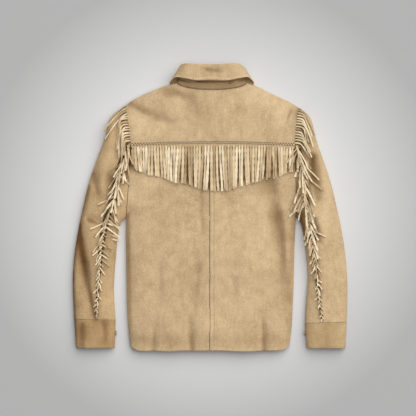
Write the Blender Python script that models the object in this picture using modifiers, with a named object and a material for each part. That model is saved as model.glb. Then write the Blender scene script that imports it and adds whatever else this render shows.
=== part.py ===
"""A fringed western overshirt jacket in tan suede, laid face down on a table with its back uppermost.

Metres. +X is to the right and +Y towards the collar for someone who looks down on the back, and +Z is up
from the table. The origin lies on the table under the middle of the jacket. "Left" and "right" are those
of that view. Every cloth piece is an open surface with the true cut and drape, given its thickness by a
Solidify modifier, and stops a seam gap short of its neighbours.
"""

import math
from collections import namedtuple

import bmesh
import bpy
import numpy as np
from mathutils import Vector
from mathutils.bvhtree import BVHTree

# Thicknesses and clearances
SUEDE = 0.0014  # one ply of suede
STAND_PLY = 0.0016  # collar stand, two plies
LEAF_PLY = 0.0018  # collar leaf, two plies
CUFF_PLY = 0.0020  # cuff, two plies
BAND_PLY = 0.0012  # button band
SEAM_GAP = 0.0003
FOLD_GAP = 0.0008  # seams on a fold, measured outside
SLEEVE_SEAM_GAP = 0.0006
ARMHOLE_GAP = 0.0012
CUFF_SEAM_GAP = 0.0002  # along the sleeve, beside the one that its turn gives
COLLAR_GAP = 0.0022  # from the neck seam to the stand's foot
COLLAR_SEAM_RISE = -0.0007  # the stand's foot starts in the middle of the yoke's wall
LEAF_GAP = 0.0015  # between stand and leaf

# Heights of the laid garment
CENTRE_X = 0.005  # centre back seam, neck and placket
CROWN_MIDDLE = 0.042  # top of the back over the centre seam
CROWN_ARMHOLE = 0.034  # top of the back beside the armholes
HEM_CROWN_SHARE = 0.76  # how much of that height is left at the hem
CROWN_HALF_WIDTH = 0.220
SIDE_FOLD_HEIGHT = 0.012
SHOULDER_FOLD_HEIGHT = 0.013
NECK_FOLD_HEIGHT = 0.021
BACK_ROUND = 0.055  # how far in from a fold the upper ply keeps rising
FRONT_ROUND = 0.016  # how far in from a fold the lower ply keeps falling
COLLAR_LIFT = 0.0046  # the fronts lie on the collar leaf here
PLACKET_LIFT = 0.0046  # left front, over its band and buttons
LAP_LIFT = 0.0065  # right front, over the left one
LAP = 0.018  # overlap of the fronts past the centre, each way

# Lengthwise places
HEM_Y = -0.3745
HEM_CORNER_RISE = 0.017
FRONT_HEM_Y = -0.3705
YOKE_END_Y = 0.1625
YOKE_MIDDLE_RISE = 0.0045
NECK_POINT_Y = 0.321
NECK_HALF_WIDTH = 0.090
NECK_FOLD_REST = ((0.045, 0.012), (0.0, 0.020))  # the shoulder folds' line goes on across the neck
BACK_NECK_DROP = 0.0207
FRONT_NECK_DROP = 0.084

BodyRow = namedtuple("BodyRow", "y left right")
BODY = [  # side edges from hem to armpit, then the armhole seams up to the shoulder points
    BodyRow(-0.3800, -0.2040, 0.2030),
    BodyRow(-0.3210, -0.2105, 0.2105),
    BodyRow(-0.2430, -0.2150, 0.2150),
    BodyRow(-0.1910, -0.2163, 0.2170),
    BodyRow(-0.1130, -0.2176, 0.2184),
    BodyRow(-0.0660, -0.2180, 0.2205),
    BodyRow(-0.0250, -0.2165, 0.2225),
    BodyRow(0.0300, -0.2120, 0.2225),
    BodyRow(0.1000, -0.2070, 0.2205),
    BodyRow(0.1650, -0.2060, 0.2200),
    BodyRow(0.2120, -0.2115, 0.2240),
    BodyRow(0.2620, -0.2200, 0.2310),
]

ShoulderRow = namedtuple("ShoulderRow", "share left_x left_y right_x right_y")
SHOULDERS = [  # the folded shoulder edge, from the shoulder point to the neck point
    ShoulderRow(0.00, -0.2198, 0.2608, 0.2302, 0.2560),
    ShoulderRow(0.12, -0.2060, 0.2712, 0.2160, 0.2650),
    ShoulderRow(0.35, -0.1768, 0.2876, 0.1880, 0.2790),
    ShoulderRow(0.60, -0.1430, 0.3018, 0.1520, 0.2960),
    ShoulderRow(0.80, -0.1140, 0.3125, 0.1250, 0.3095),
    ShoulderRow(1.00, -0.0850, 0.3210, 0.0950, 0.3210),
]

SleeveRow = namedtuple("SleeveRow", "outer_x outer_y inner_x inner_y seam_share height")
LEFT_SLEEVE = [  # flattened sections from the armhole to the cuff seam
    SleeveRow(-0.2198, 0.2608, -0.2165, -0.0250, 0.640, 0.0340),
    SleeveRow(-0.2574, 0.2300, -0.2223, -0.0325, 0.640, 0.0360),
    SleeveRow(-0.2743, 0.1729, -0.2301, -0.0403, 0.660, 0.0370),
    SleeveRow(-0.2938, 0.1209, -0.2348, -0.0533, 0.670, 0.0370),
    SleeveRow(-0.3133, 0.0637, -0.2384, -0.0715, 0.650, 0.0360),
    SleeveRow(-0.3289, 0.0013, -0.2418, -0.1000, 0.630, 0.0350),
    SleeveRow(-0.3419, -0.0610, -0.2444, -0.1339, 0.620, 0.0340),
    SleeveRow(-0.3520, -0.1260, -0.2475, -0.1703, 0.640, 0.0330),
    SleeveRow(-0.3560, -0.1910, -0.2496, -0.2093, 0.630, 0.0310),
    SleeveRow(-0.3548, -0.2430, -0.2483, -0.2483, 0.590, 0.0290),
    SleeveRow(-0.3525, -0.2925, -0.2452, -0.2950, 0.560, 0.0280),
]
RIGHT_SLEEVE = [
    SleeveRow(0.2302, 0.2560, 0.2225, -0.0250, 0.640, 0.0340),
    SleeveRow(0.2600, 0.2300, 0.2288, -0.0325, 0.640, 0.0360),
    SleeveRow(0.2756, 0.1729, 0.2348, -0.0416, 0.690, 0.0370),
    SleeveRow(0.2938, 0.1209, 0.2392, -0.0585, 0.730, 0.0370),
    SleeveRow(0.3128, 0.0637, 0.2439, -0.0819, 0.760, 0.0360),
    SleeveRow(0.3281, 0.0013, 0.2478, -0.1105, 0.775, 0.0350),
    SleeveRow(0.3411, -0.0610, 0.2512, -0.1417, 0.775, 0.0340),
    SleeveRow(0.3510, -0.1261, 0.2538, -0.1755, 0.780, 0.0330),
    SleeveRow(0.3560, -0.1911, 0.2527, -0.2093, 0.750, 0.0310),
    SleeveRow(0.3560, -0.2431, 0.2491, -0.2483, 0.675, 0.0290),
    SleeveRow(0.3544, -0.3003, 0.2465, -0.3037, 0.570, 0.0280),
]
SLEEVE_ROUND = 0.052
CUFF_FOLD_HEIGHT = 0.010
FRONT_SEAM_SHARE = 0.62  # sleeve seam on the hidden underside

CuffEnd = namedtuple("CuffEnd", "outer_x outer_y inner_x inner_y height")
LEFT_CUFF_END = CuffEnd(-0.3471, -0.3670, -0.2470, -0.3666, 0.0270)
RIGHT_CUFF_END = CuffEnd(0.3510, -0.3674, 0.2504, -0.3669, 0.0270)
CUFF_STEP = CUFF_PLY + SEAM_GAP + 0.0003  # the lapping end rides this far out

FoldRow = namedtuple("FoldRow", "x0 y0 x1 y1 half_width depth")
FOLDS = [  # the largest soft troughs (and ridges, with a negative depth) seen from above
    FoldRow(0.140, -0.375, 0.137, -0.270, 0.016, 0.0050),
    FoldRow(0.085, -0.375, 0.080, -0.300, 0.018, -0.0030),
    FoldRow(-0.046, -0.375, -0.050, -0.285, 0.016, 0.0045),
    FoldRow(-0.130, -0.375, -0.125, -0.290, 0.020, 0.0035),
    FoldRow(-0.016, -0.070, -0.020, 0.020, 0.016, 0.0030),
    FoldRow(-0.306, -0.060, -0.262, -0.235, 0.014, 0.0060),
    FoldRow(-0.306, 0.070, -0.300, 0.000, 0.014, 0.0040),
    FoldRow(0.290, 0.085, 0.280, 0.035, 0.016, 0.0045),
    FoldRow(0.290, -0.060, 0.272, -0.085, 0.014, 0.0040),
]

CollarRow = namedtuple("CollarRow", "angle fold_x fold_y fold_z edge_x edge_y edge_z roll")
COLLAR = [  # sections from centre back (0) past the neck point (90) to centre front (180), in degrees
    CollarRow(0, 0.000, 0.3739, 0.0460, 0.000, 0.3237, 0.0510, 0.0030),
    CollarRow(28, 0.037, 0.3741, 0.0460, 0.041, 0.3253, 0.0510, 0.0030),
    CollarRow(50, 0.0575, 0.3739, 0.0445, 0.071, 0.3310, 0.0500, 0.0030),
    CollarRow(70, 0.0700, 0.3725, 0.0390, 0.093, 0.3336, 0.0440, 0.0030),
    CollarRow(90, 0.0780, 0.3630, 0.0270, 0.1045, 0.3255, 0.0300, 0.0030),
    CollarRow(97, 0.0785, 0.3555, 0.0215, 0.1080, 0.3225, 0.0180, 0.0028),
    CollarRow(103, 0.0780, 0.3490, 0.0175, 0.1085, 0.3185, 0.0080, 0.0026),
    CollarRow(109, 0.0770, 0.3420, 0.0148, 0.1070, 0.3060, 0.0031, 0.0026),
    CollarRow(120, 0.0700, 0.3260, 0.0112, 0.1000, 0.2760, 0.0015, 0.0026),
    CollarRow(150, 0.0400, 0.2910, 0.0090, 0.0800, 0.2300, 0.0012, 0.0026),
    CollarRow(177, 0.0090, 0.2760, 0.0088, 0.0540, 0.2060, 0.0012, 0.0026),
]
BACK_TURNS = (0, 14, 28, 42, 56, 70, 82, 90)  # where panels and collar share points on the neck seam
FRONT_TURNS = (90, 92, 95, 99, 104, 110, 117, 125, 135, 150, 166.5, 180)
COLLAR_END_TURN = 177
STAND_SHARE = 0.60  # how much of the way up to the roll is stand
ROLL_TURNS = (60, 120, 180)  # points round the roll, in degrees
LEAF_STEPS = (0.33, 0.67, 1.0)

# Mesh lines of the panels, as shares of their length unless named otherwise
UPRIGHT_SHARE = 0.010  # a first line just inside a fold makes the edge face stand upright
BACK_ROWS = (0, 0.06, 0.13, 0.22, 0.31, 0.40, 0.49, 0.57, 0.62, 0.651, 0.69, 0.75, 0.83, 0.91, 1)
BACK_COLUMNS = 7
BACK_TURN_STEPS = 5
YOKE_ROWS = (0, 0.25, 0.5, 0.75)
YOKE_TURN_STEPS = 4
FRONT_ROWS = (0, 0.08, 0.18, 0.29, 0.40, 0.49, 0.53, 0.56, 0.59, 0.64, 0.71, 0.79, 0.87, 0.94)
FRONT_TURN_STEPS = 3
SHOULDER_COLUMNS = 6
OPEN_STEPS = (0.0, 0.12, 0.28, 0.48, 0.72, 1.0)  # towards an open edge, where nothing folds
FRONT_MORPH = 0.45  # up to here a front's columns keep their distance to the side edge
HEM_CORNER_LENGTH = 0.028
FLAT_REACH = 0.021  # the fronts are level this far each way from the centre
PLACKET_FADE = 0.030
BAND_INSET = 0.001
BAND_COLUMNS = 5
BAND_ROWS = 13
SLEEVE_BLEND = 1.6  # sections from the armhole over which a sleeve leaves the body's form
SLEEVE_TURN_STEPS = 4
SEAM_SPAN = 0.03  # length of the last sleeve section, about

# Cuffs
CUFF_ROWS = 4
CUFF_ROUND = 0.030  # how far in from a fold the upper ply keeps rising
CUFF_LAP = 0.036
CUFF_BUTTON_OUT = 0.0008
CUFF_FLATS = (0.66, 0.40)  # places across the level underside
CUFF_MIDDLE = 0.5

# Fringe
Strand = namedtuple("Strand", "edge right heading bend length width pieces")

FRINGE_PLY = 0.0014
SEED = 11
YOKE_STRANDS = 64
YOKE_STRAND_WIDTH = 0.0036
YOKE_STRAND_GAP = 0.0024
YOKE_FRINGE_END = 0.065  # strand length beside the armholes
YOKE_FRINGE_MIDDLE = 0.117  # strand length at the centre
YOKE_FRINGE_INSET = 0.0020
YOKE_STRIP_WIDTH = 0.008
YOKE_STRIP_DROP = 0.0065  # the strip's middle lies this far below the yoke seam
YOKE_DRIFT = 0.014  # the strands lean by this angle to and fro along the row
YOKE_DRIFT_TURN = 0.55
YOKE_BEND = 0.012
YOKE_UNEVEN = 0.002
YOKE_STRAND_PIECES = 2
SIDE_STRAND = (0.0030, 3)  # width and pieces of a strand on the armholes and sleeves
SIDE_STRIP_WIDTH = 0.005
ARMHOLE_STRANDS = 12
ARMHOLE_FRINGE_OUT = 0.0040  # the strip lies this far outside the armhole seam
ARMHOLE_FRINGE_START = 0.012
ARMHOLE_FRINGE_END = 0.165  # as a share of the path from the shoulder to the cuff
ARMHOLE_GAP_SHARE = 0.35
ARMHOLE_HEADINGS = (0.72, 0.52)  # angle away from the strip's run, first and last strand
ARMHOLE_LENGTHS = (0.078, 0.040)
ARMHOLE_BEND_SHARE = -0.12
ARMHOLE_UNEVEN = 0.004
SLEEVE_STRANDS = 52
SLEEVE_FRINGE_START = 0.185
SLEEVE_FRINGE_STOP = 0.985
SLEEVE_GAP_SHARE = 0.5
SLEEVE_FRINGE_DOWN = (0.0, 0.3, 0.6, 0.8, 1.0)
SLEEVE_FRINGE_LENGTHS = (0.048, 0.050, 0.046, 0.030, 0.014)
SLEEVE_HEADINGS = (0.52, 0.64)
SLEEVE_UNEVEN = (0.88, 1.08)
SLEEVE_BENDS = (0.06, 0.14)
SIDE_TURN_UNEVEN = 0.02
STRAND_LIFT = 0.0022  # middle of a strand over the garment
STRIP_LIFT = 0.0008
STRAND_SINK = 0.25  # how steeply a strand falls past the garment's edge
CLEAR_REACH = 0.004  # strands and strips clear all that lies this near below them
OVER_REACH = 0.012  # the same for the armhole strands, which lie on other strands
SPINE_REACH = 10  # strip points each way that set the direction of the strands
SIDE_SPINE_STEPS = (16, 60)  # points down the armhole and down the sleeve
LACE_WIDTH = 0.0034
LACE_INSET = 0.003
LACE_PIECES = 30

# Buttons
BUTTON_RADIUS = 0.0072
BUTTON_DEPTH = 0.0026
BUTTON_SIDES = 16
FRONT_BUTTONS = 7
FRONT_BUTTON_TOP_Y = 0.222
FRONT_BUTTON_STEP = 0.086
CUFF_BUTTON_RADIUS = 0.0062
CUFF_BUTTON_Y = -0.328

SUEDE_COLOUR = (0.585, 0.430, 0.255)
FRINGE_COLOUR = (0.660, 0.510, 0.320)
LACE_COLOUR = (0.560, 0.400, 0.225)
BUTTON_COLOUR = (0.330, 0.220, 0.120)


def clear_scene():
    for obj in list(bpy.data.objects):
        bpy.data.objects.remove(obj, do_unlink=True)


def material(name, colour, roughness):
    made = bpy.data.materials.new(name)
    made.use_nodes = True
    shader = made.node_tree.nodes["Principled BSDF"]
    shader.inputs["Base Color"].default_value = (*colour, 1.0)
    shader.inputs["Roughness"].default_value = roughness
    shader.inputs["Metallic"].default_value = 0.0
    return made


def smooth_step(low, high, value):
    share = np.clip((np.asarray(value, float) - low) / (high - low), 0.0, 1.0)
    return share * share * (3 - 2 * share)


def rise(share):
    """Quarter circle from 0 at a fold to 1, flat from there on."""
    return np.sqrt(np.clip(1 - (1 - np.clip(share, 0.0, 1.0)) ** 2, 0.0, 1.0))


def smooth_curve(keys, values):
    """Return a smooth function through the values at rising keys."""
    keys = np.asarray(keys, float)
    values = np.asarray(values, float)
    slopes = np.gradient(values, keys)

    def at(key):
        key = np.clip(np.asarray(key, float), keys[0], keys[-1])
        i = np.clip(np.searchsorted(keys, key, side="right") - 1, 0, len(keys) - 2)
        span = keys[i + 1] - keys[i]
        s = (key - keys[i]) / span
        start = (1 + 2 * s) * (1 - s) ** 2 * values[i] + s * (1 - s) ** 2 * span * slopes[i]
        end = s * s * (3 - 2 * s) * values[i + 1] + s * s * (s - 1) * span * slopes[i + 1]
        return start + end

    return at


def column(table, name, key=None):
    """Return one column of a table as a smooth function of its row number, or of another column."""
    keys = [getattr(row, key) for row in table] if key else range(len(table))
    return smooth_curve(keys, [getattr(row, name) for row in table])


body_left = column(BODY, "left", "y")
body_right = column(BODY, "right", "y")
SIDES = {-1: ("left", body_left, LEFT_SLEEVE), 1: ("right", body_right, RIGHT_SLEEVE)}


def shoulder_fold(side, share):
    """The folded shoulder edge in plan, from the shoulder point (0) to the neck point (1)."""
    word = SIDES[side][0]
    x = column(SHOULDERS, word + "_x", "share")(share)
    y = column(SHOULDERS, word + "_y", "share")(share)
    return x, y


def fold_lines():
    """Each folded edge of the body as (points in plan, heights)."""
    lines = []
    for side, (_, edge, sleeve) in SIDES.items():
        y = np.linspace(HEM_Y - 0.02, sleeve[0].inner_y, 90)
        lines.append((np.stack([edge(y), y], 1), np.full(len(y), SIDE_FOLD_HEIGHT)))
        share = np.linspace(0, 1, 70)
        across_neck = [[CENTRE_X + side * x, NECK_POINT_Y + rise_y] for x, rise_y in NECK_FOLD_REST]
        points = np.concatenate([np.stack(shoulder_fold(side, share), 1), across_neck])
        heights = SHOULDER_FOLD_HEIGHT + (NECK_FOLD_HEIGHT - SHOULDER_FOLD_HEIGHT) * share
        lines.append((points, np.concatenate([heights, [NECK_FOLD_HEIGHT] * len(across_neck)])))
    return lines


FOLD_LINES = fold_lines()


def nearest_on_line(x, y, points, heights):
    """Distance to a line in plan, and the line's height at the nearest place."""
    best = np.full(x.shape, 1e9)
    height = np.zeros(x.shape)
    for i in range(len(points) - 1):
        (ax, ay), (bx, by) = points[i], points[i + 1]
        dx, dy = bx - ax, by - ay
        s = np.clip(((x - ax) * dx + (y - ay) * dy) / (dx * dx + dy * dy), 0, 1)
        distance = np.hypot(x - ax - s * dx, y - ay - s * dy)
        closer = distance < best
        best = np.where(closer, distance, best)
        height = np.where(closer, heights[i] + s * (heights[i + 1] - heights[i]), height)
    return best, height


def nearest_fold(x, y):
    """Distance to the nearest folded edge of the body, and the height of that edge."""
    found = [nearest_on_line(x, y, points, heights) for points, heights in FOLD_LINES]
    distance = np.stack([f[0] for f in found])
    height = np.stack([f[1] for f in found])
    which = distance.argmin(0)[None]
    return np.take_along_axis(distance, which, 0)[0], np.take_along_axis(height, which, 0)[0]


def relief(x, y):
    """Depth of the soft folds at a place in plan."""
    depth = np.zeros(np.shape(x))
    for fold in FOLDS:
        dx, dy = fold.x1 - fold.x0, fold.y1 - fold.y0
        along = ((x - fold.x0) * dx + (y - fold.y0) * dy) / (dx * dx + dy * dy)
        s = np.clip(along, 0, 1)
        off = np.hypot(x - fold.x0 - s * dx, y - fold.y0 - s * dy)
        fade = 1 - 0.6 * s
        depth = depth + fold.depth * fade * np.exp(-((off / fold.half_width) ** 2))
    return depth


def back_height(x, y):
    """Upper side of the back, as if it had no armholes."""
    x, y = np.asarray(x, float), np.asarray(y, float)
    distance, fold = nearest_fold(x, y)
    across = np.clip(np.abs(x - CENTRE_X) / CROWN_HALF_WIDTH, 0, 1)
    crown = CROWN_ARMHOLE + (CROWN_MIDDLE - CROWN_ARMHOLE) * (1 - across**2)
    low = 1 - smooth_step(HEM_Y, -0.060, y)
    crown = crown * (1 - (1 - HEM_CROWN_SHARE) * low)
    up = rise(distance / BACK_ROUND)
    return fold + (crown - fold) * up - relief(x, y) * up


def placket_lift(x, lift):
    return lift * (1 - smooth_step(FLAT_REACH, FLAT_REACH + PLACKET_FADE, np.abs(x - CENTRE_X)))


def front_height(x, y, side):
    """Lower side of a front: flat on the table, but lifted over the collar leaf and the button band."""
    x, y = np.asarray(x, float), np.asarray(y, float)
    distance, fold = nearest_fold(x, y)
    near_neck = 1 - smooth_step(0.112, 0.155, np.abs(x - CENTRE_X))
    collar = COLLAR_LIFT * near_neck * smooth_step(0.150, 0.195, y)
    lift = PLACKET_LIFT if side < 0 else LAP_LIFT
    low = np.maximum(collar, placket_lift(x, lift))
    return low + (fold - low) * (1 - rise(distance / FRONT_ROUND))


def neck_ring(angle):
    """The neck seam in plan: 0 at centre back, 90 at the neck points, 180 at centre front (degrees)."""
    turn = np.radians(angle)
    x = CENTRE_X + NECK_HALF_WIDTH * np.sin(turn)
    drop = np.where(np.cos(turn) > 0, BACK_NECK_DROP, FRONT_NECK_DROP)
    return x, NECK_POINT_Y - drop * np.abs(np.cos(turn))


def neck_height(angle):
    x, y = neck_ring(angle)
    side = -1 if angle < 0 else 1
    if abs(angle) <= 90:
        return float(back_height(x, y))
    return float(front_height(x, y, side))


class Sleeve:
    """One sleeve as flattened sections: share 0 is its outer fold and 1 its inner fold."""

    def __init__(self, side):
        self.side = side
        table = SIDES[side][2]
        self.rows = len(table) - 1
        self.outer_x = column(table, "outer_x")
        self.outer_y = column(table, "outer_y")
        self.inner_x = column(table, "inner_x")
        self.inner_y = column(table, "inner_y")
        self.seam = column(table, "seam_share")
        self.top = column(table, "height")
        self.yoke_share = (table[0].outer_y - YOKE_END_Y) / (table[0].outer_y - table[0].inner_y)

    def armhole(self, share):
        """The armhole seam in plan."""
        edge = SIDES[self.side][1]
        y = self.outer_y(0) + (self.inner_y(0) - self.outer_y(0)) * share
        end_shift = edge(self.outer_y(0)) - self.outer_x(0)
        return edge(y) - end_shift * (1 - share) ** 6, y

    def width(self, row):
        return np.hypot(self.outer_x(row) - self.inner_x(row), self.outer_y(row) - self.inner_y(row))

    def plan(self, row, share):
        """A place in plan; the first sections follow the armhole's curve."""
        x = self.outer_x(row) + (self.inner_x(row) - self.outer_x(row)) * share
        y = self.outer_y(row) + (self.inner_y(row) - self.outer_y(row)) * share
        ax, ay = self.armhole(share)
        sx = self.outer_x(0) + (self.inner_x(0) - self.outer_x(0)) * share
        sy = self.outer_y(0) + (self.inner_y(0) - self.outer_y(0)) * share
        keep = 1 - smooth_step(0, SLEEVE_BLEND, row)
        return x + keep * (ax - sx), y + keep * (ay - sy)

    def height(self, row, share, upper):
        row, share = np.asarray(row, float), np.asarray(share, float)
        x, y = self.plan(row, share)
        from_fold = np.minimum(share, 1 - share) * self.width(row)
        fold = SIDE_FOLD_HEIGHT + (CUFF_FOLD_HEIGHT - SIDE_FOLD_HEIGHT) * row / self.rows
        own = fold * (1 - rise(from_fold / FRONT_ROUND))
        if upper:
            up = rise(from_fold / np.minimum(SLEEVE_ROUND, self.width(row) / 2))
            own = fold + (self.top(row) - fold) * up - relief(x, y) * up
        ax, ay = self.armhole(share)
        body = back_height(ax, ay) if upper else front_height(ax, ay, self.side)
        blend = smooth_step(0, SLEEVE_BLEND, row)
        return body * (1 - blend) + own * blend

    def point(self, row, share, upper):
        x, y = self.plan(row, share)
        return np.stack([x, y, self.height(row, share, upper)], -1)


SLEEVES = {side: Sleeve(side) for side in (-1, 1)}


def turn_steps(count):
    """Distances from a fold, as shares of its round, that step evenly round the bend."""
    return [1 - math.cos(math.pi / 2 * i / count) for i in range(count + 1)]


def upper_shares(sleeve, row):
    """Places across the upper side of a sleeve section, and the index of its back seam."""
    width, seam = float(sleeve.width(row)), float(sleeve.seam(row))
    outer = min(SLEEVE_ROUND, 0.6 * seam * width) / width
    inner = min(SLEEVE_ROUND, 0.9 * (1 - seam) * width) / width
    start = SLEEVE_ROUND / float(sleeve.width(0))
    yoke = (sleeve.yoke_share - start) / (float(sleeve.seam(0)) - start)
    shares = [outer * s for s in turn_steps(SLEEVE_TURN_STEPS)]
    shares += [outer + (seam - outer) * f for f in (yoke / 2, yoke, (1 + yoke) / 2, 1)]
    seam_index = len(shares) - 1
    shares += [1 - inner * s for s in reversed(turn_steps(SLEEVE_TURN_STEPS))]
    return shares, seam_index


def lower_shares(sleeve, row):
    """Places across the lower side of a sleeve section, and the index of its front seam."""
    around = FRONT_ROUND / float(sleeve.width(row))
    seam = FRONT_SEAM_SHARE
    shares = [around * s for s in turn_steps(FRONT_TURN_STEPS)]
    shares += [(around + seam) / 2, seam]
    seam_index = len(shares) - 1
    shares += [(seam + 1 - around) / 2]
    shares += [1 - around * s for s in reversed(turn_steps(FRONT_TURN_STEPS))]
    return shares, seam_index


def face_outwards(bm, outward):
    """Turn all faces to the outward side, or with None away from the middle of the surface."""
    bmesh.ops.recalc_face_normals(bm, faces=bm.faces)
    bm.normal_update()
    if outward:
        lean = sum((face.normal * face.calc_area() for face in bm.faces), Vector()).dot(Vector(outward))
    else:
        middle = sum((face.calc_center_median() for face in bm.faces), Vector()) / len(bm.faces)
        lean = sum(
            face.normal.dot(face.calc_center_median() - middle) * face.calc_area() for face in bm.faces
        )
    if lean < 0:
        bmesh.ops.reverse_faces(bm, faces=bm.faces)


def sheet_object(name, points, outward=(0, 0, 1), thickness=SUEDE, offset=-1.0):
    """A grid of points as one open surface with thickness."""
    rows, columns = len(points), len(points[0])
    bm = bmesh.new()
    bmesh.ops.create_grid(bm, x_segments=columns - 1, y_segments=rows - 1, size=1)
    flat = [point for line in points for point in line]
    for vert, point in zip(bm.verts, flat):
        vert.co = Vector([float(c) for c in point])
    bmesh.ops.remove_doubles(bm, verts=bm.verts, dist=1e-6)
    face_outwards(bm, outward)
    return finished(name, bm, MATERIALS["suede"], thickness, offset)


def finished(name, bm, skin, thickness=None, offset=0.0):
    """The finished object of a bmesh; a sheet gets its thickness from a modifier."""
    mesh = bpy.data.meshes.new(name)
    bm.to_mesh(mesh)
    bm.free()
    mesh.shade_smooth()
    mesh.materials.append(skin)
    obj = bpy.data.objects.new(name, mesh)
    GARMENT.objects.link(obj)
    if thickness:
        wall = obj.modifiers.new("wall", "SOLIDIFY")
        wall.thickness = thickness
        wall.offset = offset
        wall.use_even_offset = False
    return obj


def panel_steps(steps):
    """Turn steps with one more just inside the fold."""
    return [0.0, UPRIGHT_SHARE] + turn_steps(steps)[1:]


def yoke_seam(x):
    """The yoke seam in plan."""
    across = np.clip(np.abs(np.asarray(x, float) - CENTRE_X) / 0.2, 0, 1)
    return YOKE_END_Y + YOKE_MIDDLE_RISE * (1 - across**2)


def hem_rise(x, y):
    """The rounded corners of the hem."""
    inside = np.minimum(x - body_left(y), body_right(y) - x)
    return HEM_CORNER_RISE * (1 - rise(np.clip(inside, 0, None) / HEM_CORNER_LENGTH))


def to_fold(edge_points, which, direction):
    """Put edge points at the height of the fold they lie on, half a gap above or below it."""
    _, height = nearest_fold(edge_points[which, 0], edge_points[which, 1])
    edge_points[which, 2] = height + direction * FOLD_GAP / 2


def back_panel(side):
    """One half of the back, from the centre seam to the side fold and the armhole."""
    edge = SIDES[side][1]
    across = BACK_ROUND * np.array(panel_steps(BACK_TURN_STEPS))
    points = []
    for v in BACK_ROWS:
        y = HEM_Y + v * (YOKE_END_Y - HEM_Y)
        side_x = float(edge(y))
        centre = CENTRE_X + side * SEAM_GAP / 2
        inner = side_x - side * BACK_ROUND
        x = np.concatenate([side_x - side * across, np.linspace(inner, centre, BACK_COLUMNS + 1)[1:]])
        low, high = 1 - smooth_step(0, 0.1, v), smooth_step(0.85, 1, v)
        lines = y + low * hem_rise(x, y) + high * (yoke_seam(x) - YOKE_END_Y - SEAM_GAP / 2)
        x = x + (edge(lines) - side_x) * (x - centre) / (side_x - centre)
        points.append(np.stack([x, lines, back_height(x, lines)], -1))
    points = np.array(points)
    below_armpit = points[:, 0, 1] < SIDES[side][2][0].inner_y
    to_fold(points[:, 0], below_armpit, 1)
    return points


def row_shares(length_share, open_rows, folded):
    """Rows from 0 to 1 that close up towards the top edge, most of all towards a fold."""
    steps = panel_steps(YOKE_TURN_STEPS) if folded else OPEN_STEPS
    turned = [1 - length_share * s for s in reversed(steps)]
    return np.array([share * (1 - length_share) for share in open_rows] + turned)


def column_tops(side, turns):
    """Top ends of a panel's columns in plan, from the shoulder point over the neck point to the centre."""
    share = np.linspace(0, 1, SHOULDER_COLUMNS + 1)
    x, y = neck_ring(np.array(turns[1:]))
    x = CENTRE_X + side * (x - CENTRE_X)
    return np.concatenate([np.stack(shoulder_fold(side, share), 1), np.stack([x, y], 1)])


def panel_columns(side, low_x, low_y, tops, height, fold_round, rows, morph):
    """Columns from low places up to the tops; they keep their distance to the side edge until morph."""
    edge = SIDES[side][1]
    columns = []
    for i, (x0, y0, (top_x, top_y)) in enumerate(zip(low_x, low_y, tops)):
        length_share = min(fold_round / (top_y - y0), 0.5)
        v = row_shares(length_share, rows, i <= SHOULDER_COLUMNS)
        y = y0 + (top_y - y0) * v
        near = (x0 - low_x[-1]) / (low_x[0] - low_x[-1])
        x = x0 + near * (edge(y) - low_x[0])
        top_shift = top_x - (x0 + near * (edge(top_y) - low_x[0]))
        x = x + smooth_step(morph, 1, v) * top_shift
        columns.append(np.stack([x, y, height(x, y)], -1))
    return np.array(columns)


def half_yoke(side):
    """Columns of one half of the yoke, from the armhole to the centre."""
    tops = column_tops(side, BACK_TURNS[::-1])
    low_end = float(SIDES[side][1](YOKE_END_Y))
    share = (tops[:, 0] - tops[0, 0]) / (CENTRE_X - tops[0, 0])
    low_x = low_end + (CENTRE_X - low_end) * share
    low_y = yoke_seam(low_x) + SEAM_GAP / 2
    points = panel_columns(side, low_x, low_y, tops, back_height, BACK_ROUND, YOKE_ROWS, 0.0)
    to_fold(points[:, -1], slice(0, SHOULDER_COLUMNS + 1), 1)
    return points


def yoke_points():
    """The yoke as columns from the left armhole to the right one."""
    return np.concatenate([half_yoke(-1), half_yoke(1)[::-1][1:]])


def front_panel(side):
    """One front, from the side fold and the armhole past the centre."""
    tops = column_tops(side, FRONT_TURNS)
    edge_x = CENTRE_X - side * LAP
    tops = np.concatenate([tops, [[edge_x, tops[-1, 1]]]])
    low_end = float(SIDES[side][1](FRONT_HEM_Y))
    around = low_end - side * FRONT_ROUND * np.array(panel_steps(FRONT_TURN_STEPS))
    flat = CENTRE_X + side * FLAT_REACH
    between = np.linspace(around[-1], flat, len(tops) - len(around) - 1)[1:]
    low_x = np.concatenate([around, between, [CENTRE_X, edge_x]])
    low_y = FRONT_HEM_Y + hem_rise(low_x, np.full(len(low_x), FRONT_HEM_Y))

    def height(x, y):
        return front_height(x, y, side)

    points = panel_columns(side, low_x, low_y, tops, height, FRONT_ROUND, FRONT_ROWS, FRONT_MORPH)
    to_fold(points[:, -1], slice(0, SHOULDER_COLUMNS + 1), -1)
    below_armpit = points[0, :, 1] < SIDES[side][2][0].inner_y
    to_fold(points[0], below_armpit, -1)
    return points


def sleeve_points(side, outer_piece):
    """One piece of a sleeve: rows from the armhole to the cuff, columns from back seam to front seam."""
    sleeve = SLEEVES[side]
    points = []
    for row in [0, 0.5, 1, SLEEVE_BLEND] + list(range(2, sleeve.rows + 1)):
        half_gap = SLEEVE_SEAM_GAP / 2 / float(sleeve.width(row))
        upper, upper_seam = upper_shares(sleeve, row)
        lower, lower_seam = lower_shares(sleeve, row)
        if outer_piece:
            top, under = upper[:upper_seam + 1][::-1], lower[:lower_seam + 1]
        else:
            top, under = upper[upper_seam:], lower[lower_seam:][::-1]
            half_gap = -half_gap
        top[0] -= half_gap
        under[-1] -= half_gap
        over_top = sleeve.point(row, np.array(top), True)
        points.append(np.concatenate([over_top, sleeve.point(row, np.array(under[1:]), False)]))
    points = np.array(points)
    points[0, :, 0] += side * ARMHOLE_GAP
    points[-1] += (points[-2] - points[-1]) * CUFF_SEAM_GAP / SEAM_SPAN
    return points


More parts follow.
